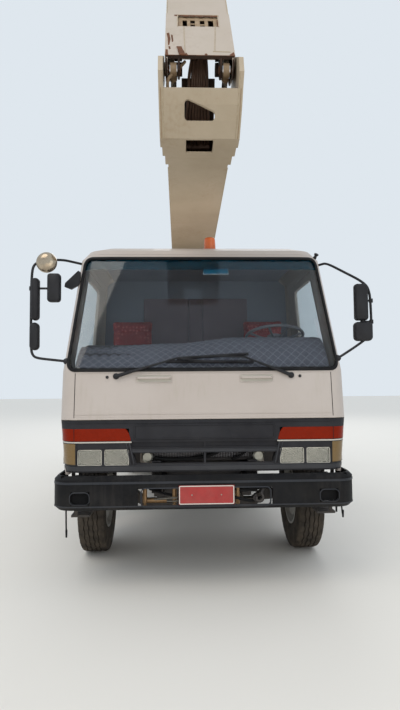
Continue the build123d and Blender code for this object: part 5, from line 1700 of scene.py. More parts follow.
    def eyes(self) -> None:
        """Painted eyes of the two cylinders and the pins in the upper boom's lugs."""
        rings, pins = Shape(), Shape()
        s, z = self.eye
        for side in (-1, 1):
            centre = BOOM.at(side * self.ram_x, s, z)
            rings.lathe([(0.0228, -0.0262), (0.041, -0.0262), (0.0475, -0.020), (0.0475, 0.020),
                         (0.041, 0.0262), (0.0228, 0.0262)], centre, steps=36)
            ahead = (Vector(BOOM.at(side * self.ram_x, 0.590, 3.400)) - Vector(centre)).normalized()
            near = Vector(centre)
            rings.bar(tuple(near + ahead * 0.040), tuple(near + ahead * 0.085), 0.030, 20, 0.8)
            pins.bar(BOOM.at(side * 0.132, s, z), BOOM.at(side * 0.2275, s, z), 0.0214, 24)
            pins.bar(BOOM.at(side * 0.128, s, z), BOOM.at(side * 0.134, s, z), 0.031, 6)
        rings.piece("cylinder_eyes", self.stained, "elbow_rods", bevel=0.002)
        pins.piece("cylinder_pins", Paint.rust, Body.UPPER, bevel=0.0015)

    def caps(self) -> None:
        """Pin caps with grease nipples on both cheeks, and the strap that hangs from the collar."""
        caps = Shape()
        for side in (-1, 1):
            caps.lathe([(0.0, 0.0), (0.052, 0.0), (0.050, 0.0025), (0.012, 0.003), (0.008, 0.006),
                        (0.0, 0.006)], BOOM.at(side * 0.2845, *BOOM.elbow), (side, 0, 0), 40,
                       loop=False)
        caps.piece("elbow_pin_caps", Paint.boom, Body.LOWER)
        strap = Shape()
        face = 0.1845
        for (x0, p0), (x1, p1), wide in (((-0.140, -0.085), (-0.128, -0.150), 0.017),
                                         ((-0.128, -0.150), (-0.118, -0.212), 0.020)):
            strap.ring_skin([each(BOOM.upper, (x - wide, p, face), (x + wide, p, face),
                                  (x + wide, p, face + 0.005), (x - wide, p, face + 0.005))
                             for x, p in ((x0, p0), (x1, p1))])
        strap.piece("collar_strap", Paint.rust, Body.UPPER, bevel=0.001)

    def beads(self) -> None:
        """Weld beads on the collar and along the booms, and rust that follows the cheeks' edges."""
        face = 0.1835
        upper = Shape()
        for (x0, p0), (x1, p1) in (((-0.100, -0.190), (-0.104, 0.262)),
                                   ((0.100, -0.150), (0.122, 0.262)),
                                   ((0.088, -0.148), (0.206, -0.152)),
                                   ((-0.148, 0.262), (-0.148, 0.471)),
                                   ((0.148, 0.262), (0.148, 0.471)),
                                   ((-0.150, 0.471), (0.150, 0.471))):
            upper.bar(BOOM.upper(x0, p0, face), BOOM.upper(x1, p1, face), 0.0032, 8)
        for side in (-1, 1):
            upper.bar(BOOM.upper(side * 0.229, 0.505, 0.174), BOOM.upper(side * 0.229, 1.60, 0.174),
                      0.004, 8)
        upper.bar(BOOM.upper(-0.232, 0.503, 0.176), BOOM.upper(0.232, 0.503, 0.176), 0.005, 8)
        upper.piece("upper_boom_welds", self.bead, Body.UPPER)
        lower, edge = Shape(), Shape()
        for side in (-1, 1):
            lower.chain([BOOM.at(side * 0.2475, *p) for p in self.cheek[3:]], 0.0035)
            edge.chain([BOOM.at(side * 0.2615, s, z + 0.002) for s, z in self.cheek[4:]], 0.0035)
            lower.bar(BOOM.lower(side * 0.2265, 0.20, -0.199),
                      BOOM.lower(side * 0.2265, 6.15, -0.199), 0.004, 8)
            lower.bar(BOOM.lower(side * 0.2265, 0.20, 0.199),
                      BOOM.lower(side * 0.2265, 5.84, 0.199), 0.004, 8)
        lower.piece("lower_boom_welds", self.bead, Body.LOWER)
        edge.piece("cheek_edge_rust", self.stained, Body.LOWER)

    def rust(self) -> None:
        """Run-down rust on the collar's passenger side and along its foot."""
        form = Shape()
        marks = (((-0.226, 0.140), (-0.208, 0.150), (-0.198, 0.040), (-0.206, -0.050),
                  (-0.214, -0.060), (-0.218, 0.060)), ((-0.196, 0.120), (-0.184, 0.110),
                                                       (-0.178, 0.010), (-0.188, -0.010)),
                 ((-0.212, -0.075), (-0.200, -0.072), (-0.196, -0.110), (-0.206, -0.125)),
                 ((-0.230, -0.120), (-0.216, -0.125), (-0.212, -0.200), (-0.232, -0.205)),
                 ((-0.115, -0.196), (-0.090, -0.170), (-0.080, -0.206), (-0.108, -0.206)),
                 ((0.030, -0.186), (0.044, -0.178), (0.052, -0.200), (0.034, -0.204)),
                 ((0.196, -0.196), (0.228, -0.150), (0.233, -0.205), (0.205, -0.206)))
        for outline in marks:
            rings = [[BOOM.upper(x, p, q) for x, p in outline] for q in (self.collar, 0.1838)]
            form.ring_skin(rings)
        form.bar(BOOM.upper(-0.233, -0.2055, 0.181), BOOM.upper(0.233, -0.2055, 0.181), 0.0032, 6)
        form.piece("collar_rust", Paint.rust, Body.UPPER)

    def build(self) -> None:
        """Builds the elbow's pieces."""
        self.bundle()
        self.guides()
        self.slot()
        self.eyes()
        self.caps()
        self.beads()
        self.rust()


@dataclass
class Mirrors:
    """Hoop arms with housings on both sides, a round kerb mirror and a small one by the pillar."""

    arm_radius: float = 0.0105
    left_arm: tuple[Point, ...] = ((1.030, 0.575, 2.660), (1.075, 0.545, 2.668),
                                   (1.114, 0.500, 2.672), (1.220, 0.350, 2.560),
                                   (1.325, 0.200, 2.450), (1.384, 0.190, 2.380),
                                   (1.391, 0.190, 2.180), (1.392, 0.190, 2.031),
                                   (1.370, 0.191, 1.995), (1.332, 0.192, 1.957),
                                   (1.220, 0.194, 1.880), (1.110, 0.195, 1.812))
    right_arm: tuple[Point, ...] = ((-1.030, 0.575, 2.672), (-1.110, 0.487, 2.675),
                                    (-1.190, 0.400, 2.676), (-1.290, 0.270, 2.640),
                                    (-1.375, 0.200, 2.600), (-1.391, 0.190, 2.500),
                                    (-1.392, 0.190, 2.200), (-1.391, 0.190, 1.900),
                                    (-1.375, 0.190, 1.845), (-1.340, 0.190, 1.824),
                                    (-1.220, 0.192, 1.810), (-1.110, 0.195, 1.798))
    housings: tuple[tuple[str, float, float, float, float, float],
                    ...] = (("mirror_driver_main", 1.3085, 2.2725, 0.111, 0.305, 0.026),
                            ("mirror_driver_wide", 1.320, 2.029, 0.154, 0.158, 0.034),
                            ("mirror_passenger_main", -1.2085, 2.395, 0.107, 0.234, 0.026),
                            ("mirror_passenger_slim", -1.3585, 2.3025, 0.066, 0.345, 0.030),
                            ("mirror_passenger_low", -1.3620, 2.000, 0.075, 0.225, 0.0370))

    def shell(self, name: str, x: float, z: float, wide: float, tall: float, corner: float) -> None:
        """A rounded housing with its glass facing the driver.

        Args:
            name: the piece's name.
            x: middle across.
            z: middle height.
            wide: width.
            tall: height.
            corner: radius of its corners.
        """
        form, glass = Shape(), Shape()
        corners = ((-wide / 2, -tall / 2), (wide / 2, -tall / 2), (wide / 2, tall / 2),
                   (-wide / 2, tall / 2))
        rings = []
        for gap, s in ((0.004, 0.214), (0.0, 0.208), (0.0, 0.180), (0.003, 0.166), (0.009, 0.157),
                       (0.018, 0.152)):
            rings.append([site(x + a, s, z + b) for a, b in rounded(corners, gap, corner, 5, 4)])
        form.ring_skin(rings)
        form.piece(name, Paint.black, smooth=50)
        face = [[site(x + a, s, z + b) for a, b in rounded(corners, gap, corner, 5, 4)]
                for gap, s in ((0.008, 0.213), (0.009, 0.2146))]
        glass.ring_skin(face)
        glass.piece(f"{name}_glass", Paint.mirror)

    def arms(self) -> None:
        """Bent arms, their clamps and feet."""
        form = Shape()
        for arm in (self.left_arm, self.right_arm):
            form.tube([site(x, s, z) for x, s, z in arm], self.arm_radius, 10, 3)
            for x, s, z in (arm[0], arm[-1]):
                out = math.copysign(1.0, x)
                form.lathe([(0.0, -0.012), (0.026, -0.012), (0.026, 0.004), (0.016, 0.018),
                            (0.0, 0.020)], site(x, s, z), (out * 0.7, -0.6, 0.2), 20, loop=False)
        for x0, x1, s, z in ((1.340, 1.392, 0.190, 2.285), (1.300, 1.392, 0.184, 2.110),
                             (-1.392, -1.255, 0.188, 2.390)):
            form.bar(site(x0, s, z), site(x1, 0.190, z), 0.009, 10)
            form.bar(site(math.copysign(1.392, x0), 0.190, z - 0.016),
                     site(math.copysign(1.392, x0), 0.190, z + 0.016), 0.017, 12)
        form.lathe([(0.0, 0.0), (0.014, 0.0), (0.012, 0.012), (0.0, 0.015)],
                   site(1.388, 0.184, 2.285), (1, 0, 0), 14, loop=False)
        arms = form.piece("mirror_arms", Paint.black, smooth=50)
        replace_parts(arms, "mirrors")

    def kerb(self) -> None:
        """The round kerb mirror above the slim one, and the small plain glass by the pillar."""
        egg, glass, stem = Shape(), Shape(), Shape()
        centre = site(-1.273, 0.180, 2.606)
        egg.lathe([(0.0, -0.030), (0.030, -0.028), (0.058, -0.019), (0.077, -0.004),
                   (0.0845, 0.016), (0.0845, 0.026), (0.079, 0.030), (0.0, 0.030)], centre,
                  (0, 1, 0), 40, loop=False)
        # Painted reflection: the shell's beige tint and brown patches stand in for the sand and
        # ground that the chrome reflects.
        egg.piece("kerb_mirror", Coat("chromed shell, dulled", "b3a692", rough=0.22, metallic=0.8,
                                      shade="6b5745", patch=0.05, amount=0.6), smooth=50)
        glass.lathe([(0.0, 0.0305), (0.074, 0.0305), (0.074, 0.032), (0.0, 0.036)], centre,
                    (0, 1, 0), 40, loop=False)
        glass.piece("kerb_mirror_glass", Paint.mirror)
        stem.tube(each(site, (-1.300, 0.195, 2.640), (-1.285, 0.200, 2.665), (-1.268, 0.200, 2.650),
                       (-1.262, 0.196, 2.620)), 0.007, 8)
        stem.bar(site(-1.345, 0.198, 2.610), site(-1.300, 0.197, 2.640), 0.009, 10)
        stem.prism(((-1.176, 2.448), (-1.120, 2.426), (-1.046, 2.470), (-1.042, 2.576),
                    (-1.060, 2.586), (-1.170, 2.480)), "Y", along(0.420), along(0.455))
        stem.bar(site(-1.046, 0.437, 2.490), site(-1.022, 0.440, 2.490), 0.010, 10)
        stem.piece("pillar_mirror", Paint.black, bevel=0.006, segments=3)

    def build(self) -> None:
        """Builds both sides."""
        self.arms()
        self.kerb()
        for item in self.housings:
            self.shell(*item)


@dataclass
class Wipers:
    """Two wipers with sprung arms and bridged blades, parked across the foot of the windscreen."""

    skin: CabSkin = field(default_factory=CabSkin)
    pivots: tuple[Flat, ...] = ((-0.694, 1.672), (0.694, 1.672))
    tips: tuple[Flat, ...] = ((-0.215, 1.814), (0.330, 1.820))
    blades: tuple[tuple[Flat, Flat], ...] = (((-0.305, 1.786), (0.400, 1.780)),
                                             ((-0.215, 1.812), (0.362, 1.846)))

    def build(self) -> None:
        """Builds both wipers as one piece each."""
        for name, pivot, tip, (start, end) in zip(("passenger", "driver"), self.pivots, self.tips,
                                                  self.blades):
            form = Shape()
            head = self.skin.at(*pivot, 0.016)
            form.lathe([(0.0, 0.0), (0.024, 0.0), (0.024, 0.012), (0.016, 0.020), (0.008, 0.024),
                        (0.0, 0.024)], self.skin.at(*pivot, 0.002), (0, -1, 0.05), 20, loop=False)
            mid = mix_points(pivot, tip, 0.26)
            form.bar(head, self.skin.at(*mid, 0.026), 0.016, 12, 0.75)
            form.bar(self.skin.at(*mid, 0.026), self.skin.at(*tip, 0.026), 0.011, 10, 0.75)
            count = 12            # stretches that follow the curve of the glass
            line = [tuple(start[i] + (end[i] - start[i]) * k / count for i in (0, 1))
                    for k in range(count + 1)]
            for a, b in zip(line, line[1:]):
                self.strip(form, a, b, 0.0135, 0.004, 0.0)
                self.strip(form, a, b, 0.0045, 0.016, 0.010)
            for part in (0.06, 0.30, 0.70, 0.94):
                x, z = mix_points(start, end, part)
                form.bar(self.skin.at(x - 0.012, z, 0.014), self.skin.at(x + 0.012, z, 0.014),
                         0.0105, 8)
            for low, high in ((0.04, 0.32), (0.68, 0.96), (0.18, 0.82)):
                a, b = mix_points(start, end, low), mix_points(start, end, high)
                form.bar(self.skin.at(*a, 0.021), self.skin.at(*b, 0.021), 0.0065, 8)
            form.bar(self.skin.at(*tip, 0.026), self.skin.at((start[0] + end[0]) / 2,
                                                             (start[1] + end[1]) / 2, 0.022),
                     0.0075, 8)
            piece = form.piece(f"wiper_{name}", Paint.black, smooth=50)
            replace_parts(piece, "wipers")

    def strip(self, form: Shape, a: Flat, b: Flat, half: float, out: float, back: float) -> None:
        """A stretch of flat strip on the glass between two places."""
        rings = []
        for x, z in (a, b):
            rings.append(each(self.skin.at, (x, z - half, back), (x, z - half, out),
                              (x, z + half, out), (x, z + half, back)))
        form.ring_skin(rings)


@dataclass
class Beacon:
    """The amber lamp on the roof: black foot and ribbed dome."""

    centre: Flat = (0.100, 0.900)
    foot: float = 2.8615

    def build(self) -> None:
        """Builds the lamp."""
        x, s = self.centre
        foot, dome = Shape(), Shape()
        foot.lathe([(0.0, 0.0), (0.070, 0.0), (0.070, 0.012), (0.064, 0.020), (0.0, 0.022)],
                   site(x, s, self.foot), (0, 0, 1), 40, loop=False)
        foot.piece("beacon_foot", Paint.black)
        profile = [(0.0, 0.020), (0.058, 0.020)]
        for i in range(12):
            z = 0.022 + i * 0.0095
            profile += [(0.0585 - i * 0.0006, z), (0.0565 - i * 0.0006, z + 0.006)]
        profile += [(0.049, 0.136), (0.038, 0.143), (0.018, 0.1475), (0.0, 0.148)]
        dome.lathe(profile, site(x, s, self.foot), (0, 0, 1), 40, loop=False)
        piece = dome.piece("beacon_dome", Paint.amber, smooth=50)
        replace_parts(piece, "beacon")


@dataclass
class Wheels:
    """Tyres with zigzag grooves and shoulder notches, wheel nuts, hub caps and axle flanges."""

    axles: tuple[tuple[str, float, tuple[float, ...]], ...] = (("front", 1.230, (1.000,)),
                                                               ("rear", 6.030, (0.755, 1.060)))
    centre: float = 0.510
    steps: int = 180
    nut_circle: float = 0.136        # radii in metres
    hub_circle: float = 0.096
    valve_circle: float = 0.226
    grooves: tuple[float, ...] = (-0.060, -0.021, 0.021, 0.060)

    def section(self, step: int) -> list[Flat]:
        """The tyre's half section at one step round the wheel: (offset along the axle, radius)."""
        swing = 0.0035 if (step // 3) % 2 else -0.0035
        notch = 0.009 if step % 5 == 0 else 0.0
        tread = [(-0.096, 0.5065 - notch), (-0.088, 0.5098 - notch)]
        for i, middle in enumerate(self.grooves):
            shift = swing if i % 2 else -swing
            tread += [(middle - 0.0046 + shift, 0.5100), (middle - 0.0034 + shift, 0.4980),
                      (middle + 0.0034 + shift, 0.4980), (middle + 0.0046 + shift, 0.5100)]
        tread += [(0.088, 0.5098 - notch), (0.096, 0.5065 - notch)]
        side = [(0.112, 0.500 - notch * 0.8), (0.1185, 0.490 - notch * 0.5), (0.1205, 0.470),
                (0.1245, 0.455), (0.1250, 0.425), (0.1238, 0.400), (0.1250, 0.397), (0.1240, 0.392),
                (0.1190, 0.360), (0.1195, 0.356), (0.1180, 0.350), (0.1090, 0.320), (0.1075, 0.304),
                (0.1060, 0.2935)]
        return [(-x, r) for x, r in reversed(side)] + tread + side

    def tyre(self, name: str, node: str, station: float, places: Sequence[float],
             body: str) -> None:
        """A single or twin tyre that replaces its plain solid."""
        form = Shape()
        for x in places:
            rings = []
            for step, (c, d) in enumerate(circle(self.steps)):
                rings.append([(x + dx, along(station) + r * d, self.centre + r * c)
                              for dx, r in self.section(step)])
            self.skin(form, rings)
        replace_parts(form.piece(name, Paint.tyre, body, smooth=32), node)

    @staticmethod
    def skin(form: Shape, rings: list[list[Point]]) -> None:
        """Joins the sections round the wheel, and each section's two ends."""
        loops = [[form.bm.verts.new(p) for p in ring] for ring in rings]
        for this, after in zip(loops, loops[1:] + loops[:1]):
            for i in range(len(this)):
                j = (i + 1) % len(this)
                form.bm.faces.new((this[i], this[j], after[j], after[i]))

    def fittings(self, end: str, hand: str, side: int, station: float, body: str) -> None:
        """Nuts on the disc, a cap on the hub and the valve."""
        y = along(station)
        face, hub = (1.074, 1.112) if end == "front" else (0.980, 1.075)
        nuts = []
        for c, d in circle(10, 0.5):
            nuts.append(((side * face, y + self.nut_circle * c, self.centre + self.nut_circle * d),
                         (side, 0, 0), (0, 1, 0)))
        nut = Shape()
        nut.bar((0, 0, 0), (0, 0, 0.003), 0.0135, 16)
        nut.bar((0, 0, 0.003), (0, 0, 0.016), 0.0115, 6)
        nut.bar((0, 0, 0.016), (0, 0, 0.026), 0.0070, 10)
        Repeats.make(f"nuts_{end}_{hand}", nut, nuts, Paint.zinc, body)
        bolts = []
        for c, d in circle(8):
            bolts.append(((side * (hub + 0.0005), y + self.hub_circle * c,
                           self.centre + self.hub_circle * d), (side, 0, 0), (0, 1, 0)))
        Repeats.make(f"hub_bolts_{end}_{hand}", bolt(0.0085, 0.009), bolts, Paint.zinc, body)
        cap = Shape()
        cap.lathe([(0.0, 0.0005), (0.073, 0.0005), (0.073, 0.008), (0.062, 0.011), (0.058, 0.020),
                   (0.046, 0.026), (0.0, 0.028)], (side * hub, y, self.centre), (side, 0, 0), 40,
                  loop=False)
        cap.piece(f"hub_cap_{end}_{hand}", Paint.rim, body, bevel=0.0015)
        valve = Shape()
        foot = (side * (face - 0.004), y + self.valve_circle * math.cos(0.4),
                self.centre + self.valve_circle * math.sin(0.4))
        valve.bar(foot, (foot[0] + side * 0.030, foot[1], foot[2]), 0.0045, 8)
        valve.bar((foot[0] + side * 0.028, foot[1], foot[2]),
                  (foot[0] + side * 0.038, foot[1], foot[2]), 0.0062, 8)
        valve.piece(f"valve_{end}_{hand}", Paint.black, body)

    def build(self) -> None:
        """Builds all four corners."""
        for side, hand in ((1, "left"), (-1, "right")):
            for end, station, places in self.axles:
                body = f"wheel_{end}_{hand}"
                self.tyre(f"tyre_tread_{end}_{hand}", f"tyre_{end}_{hand}", station,
                          [side * x for x in places], body)
                self.fittings(end, hand, side, station, body)


@dataclass
class Bodywork:
    """The bed's chequer pattern and fittings, door furniture, lockers, tank straps and the tail."""

    deck_top: float = 1.215
    lozenges: tuple[int, int] = (36, 92)
    lozenge_pitch: float = 0.066
    red: Coat = Coat("red acrylic, ribbed", "7a0d0a", rough=0.25, specular=0.3, shade="5c0806",
                     patch=0.04, amount=0.4)

    def deck(self) -> None:
        """Chequer lozenges on the bed, the folded rim with its rope hooks and side lamps."""
        lozenge = Shape()
        lozenge.ring_skin([[(-0.017, 0.0, z), (0.0, -0.0045, z), (0.017, 0.0, z), (0.0, 0.0045, z)]
                           for z in (-0.0005, 0.0015)])
        spots = []
        for i in range(self.lozenges[0]):
            for j in range(self.lozenges[1]):
                x, s = -1.155 + i * self.lozenge_pitch, 2.100 + j * self.lozenge_pitch
                if math.hypot(x + 0.045, s - 5.7) < 0.46 or (abs(x) < 0.40 and s < 2.75):
                    continue
                turned = (DIAGONAL, DIAGONAL if (i + j) % 2 else -DIAGONAL, 0)
                spots.append((site(x, s, self.deck_top), (0, 0, 1), turned))
        Repeats.make("deck_lozenges", lozenge, spots, Paint.deck)
        hooks, lamps, rim = Shape(), Shape(), Shape()
        for side in (-1, 1):
            rim.box(site(side * 1.196, 2.065, self.deck_top - 0.075),
                    site(side * 1.206, 8.195, self.deck_top + 0.006))
            for k in range(7):
                s = 2.40 + k * 0.90
                hooks.tube(each(site, (side * 1.205, s - 0.05, self.deck_top - 0.030),
                                (side * 1.222, s - 0.05, self.deck_top - 0.050),
                                (side * 1.226, s, self.deck_top - 0.056),
                                (side * 1.222, s + 0.05, self.deck_top - 0.050),
                                (side * 1.205, s + 0.05, self.deck_top - 0.030)), 0.006, 8)
            for s in (2.9, 4.7, 6.9):
                lamps.box(site(side * 1.206, s - 0.045, self.deck_top - 0.062),
                          site(side * 1.222, s + 0.045, self.deck_top - 0.020))
        rim.piece("bed_rim", Paint.boom, bevel=0.002)
        hooks.piece("rope_hooks", Paint.zinc)
        lamps.piece("side_marker_lamps", Paint.amber, bevel=0.004)

    def doors(self) -> None:
        """Handles and hinges on each door, steps under it."""
        for side, hand in ((1, "left"), (-1, "right")):
            body = f"door_{hand}"
            handle, hinge, step = Shape(), Shape(), Shape()
            handle.box(site(side * 1.134, 1.385, 1.588), site(side * 1.150, 1.525, 1.640))
            handle.tube(each(site, (side * 1.146, 1.400, 1.616), (side * 1.168, 1.412, 1.616),
                             (side * 1.170, 1.455, 1.616), (side * 1.168, 1.498, 1.616),
                             (side * 1.146, 1.510, 1.616)), 0.008, 8)
            handle.lathe([(0.0, 0.0), (0.012, 0.0), (0.012, 0.004), (0.0, 0.005)],
                         site(side * 1.142, 1.545, 1.560), (side, 0, 0), 16, loop=False)
            handle.piece(f"handle_{hand}", Paint.black, body, bevel=0.003)
            for z in (1.245, 1.520):
                hinge.box(site(side * 1.138, 0.382, z - 0.035),
                          site(side * 1.149, 0.445, z + 0.035))
                hinge.bar(site(side * 1.150, 0.384, z - 0.040),
                          site(side * 1.150, 0.384, z + 0.040), 0.008, 12)
            hinge.piece(f"hinges_{hand}", Paint.cab, body, bevel=0.003)
            for z, x in ((0.560, 1.075), (0.830, 1.095)):
                step.box(site(side * (x - 0.150), 0.250, z - 0.018), site(side * x, 0.560, z))
                for k in range(5):
                    y = 0.275 + k * 0.065
                    step.bar(site(side * (x - 0.140), y, z + 0.001),
                             site(side * (x - 0.008), y, z + 0.001), 0.0035, 6)
            for y in (0.262, 0.548):
                step.ring_skin([each(site, (side * x, y - 0.006, z), (side * x, y + 0.006, z),
                                     (side * (x - 0.03), y + 0.006, z),
                                     (side * (x - 0.03), y - 0.006, z))
                                for x, z in ((1.050, 0.545), (1.080, 0.985))])
            step.piece(f"steps_{hand}", Paint.chassis, bevel=0.002)

    def sides(self) -> None:
        """Locker lids, tank straps with the filler cap, and mud flaps."""
        lids, straps, flaps = Shape(), Shape(), Shape()
        for side in (-1, 1):
            for k in range(2):
                s0 = 4.095 + k * 0.625
                lids.box(site(side * 1.195, s0, 0.632), site(side * 1.202, s0 + 0.600, 1.072))
                for s in (s0 + 0.08, s0 + 0.52):
                    lids.bar(site(side * 1.202, s - 0.035, 1.070),
                             site(side * 1.202, s + 0.035, 1.070), 0.009, 10)
        lids.piece("locker_lids", Paint.boom, bevel=0.004)
        locks = []
        for side in (-1, 1):
            for k in range(2):
                locks.append((site(side * 1.202, 4.395 + k * 0.625, 0.705), (side, 0, 0),
                              (0, 1, 0)))
        lock = Shape()
        lock.box((-0.050, -0.022, 0.0), (0.050, 0.022, 0.007))
        lock.bar((-0.034, 0, 0.007), (0.034, 0, 0.016), 0.007, 8)
        Repeats.make("locker_locks", lock, locks, Paint.zinc)
        for s in (2.47, 2.72):
            straps.box(site(-1.104, s, 0.616), site(-1.099, s + 0.045, 0.984))
            straps.box(site(-1.104, s, 0.979), site(-0.560, s + 0.045, 0.984))
            straps.box(site(-1.104, s, 0.616), site(-0.560, s + 0.045, 0.621))
            straps.bar(site(-1.110, s + 0.022, 0.880), site(-1.110, s + 0.022, 0.950), 0.007, 8)
        for z in (0.680, 0.900):
            for s in (2.975, 3.115):
                straps.lathe([(0.0952, -0.010), (0.0975, -0.010), (0.0975, 0.010), (0.0952, 0.010)],
                             site(-0.820, s, z), (0, 1, 0), 32)
        straps.piece("tank_straps", Paint.zinc, bevel=0.001)
        cap = Shape()
        cap.lathe([(0.0, 0.0), (0.040, 0.0), (0.040, 0.018), (0.048, 0.020), (0.048, 0.040),
                   (0.040, 0.045), (0.0, 0.046)], site(-0.960, 2.56, 0.979), (0, 0, 1), 32,
                  loop=False)
        cap.piece("filler_cap", Paint.black)
        for side in (-1, 1):
            flaps.ring_skin([each(site, (side * 0.615, s, z), (side * 1.185, s, z),
                                  (side * 1.185, s + 0.008, z), (side * 0.615, s + 0.008, z))
                             for s, z in ((6.628, 0.300), (6.622, 0.560), (6.610, 0.700))])
            flaps.box(site(side * 0.615, 6.600, 0.655), site(side * 1.185, 6.616, 0.700))
        flaps.piece("mud_flaps", Paint.black, bevel=0.002)

    def tail(self) -> None:
        """Tail lamps in three colours, reflectors and the tow eye."""
        for name, x0, x1, coat in (("stop", 0.792, 0.878, self.red),
                                   ("turn", 0.882, 0.962, Paint.orange),
                                   ("reverse", 0.966, 1.048, Paint.lens)):
            lamp = Shape()
            for side in (-1, 1):
                lamp.box(site(side * x0, 8.298, 0.712), site(side * x1, 8.312, 0.808))
                for k in range(5):
                    x = x0 + (x1 - x0) * (k + 0.5) / 5
                    lamp.bar(site(side * x, 8.311, 0.720), site(side * x, 8.311, 0.800), 0.0045, 8)
            lamp.piece(f"tail_lamp_{name}", coat, bevel=0.003)
        spots = [(site(side * x, 8.3105, 0.625), (0, 1, 0), (1, 0, 0)) for side in (-1, 1)
                 for x in (0.62, 0.95)]
        disc = Shape()
        disc.lathe([(0.0, 0.0), (0.036, 0.0), (0.036, 0.006), (0.030, 0.009), (0.0, 0.009)],
                   (0, 0, 0), (0, 0, 1), 28, loop=False)
        Repeats.make("tail_reflectors", disc, spots, self.red)
        eye = Shape()
        eye.tube(each(site, (-0.05, 8.309, 0.600), (-0.05, 8.345, 0.602), (0.0, 8.366, 0.602),
                      (0.05, 8.345, 0.602), (0.05, 8.309, 0.600)), 0.014, 12)
        eye.box(site(-0.085, 8.308, 0.572), site(0.085, 8.320, 0.632))
        eye.piece("tow_eye", Paint.chassis, bevel=0.003)

    def build(self) -> None:
        """Builds the bodywork's pieces."""
        self.deck()
        self.doors()
        self.sides()
        self.tail()


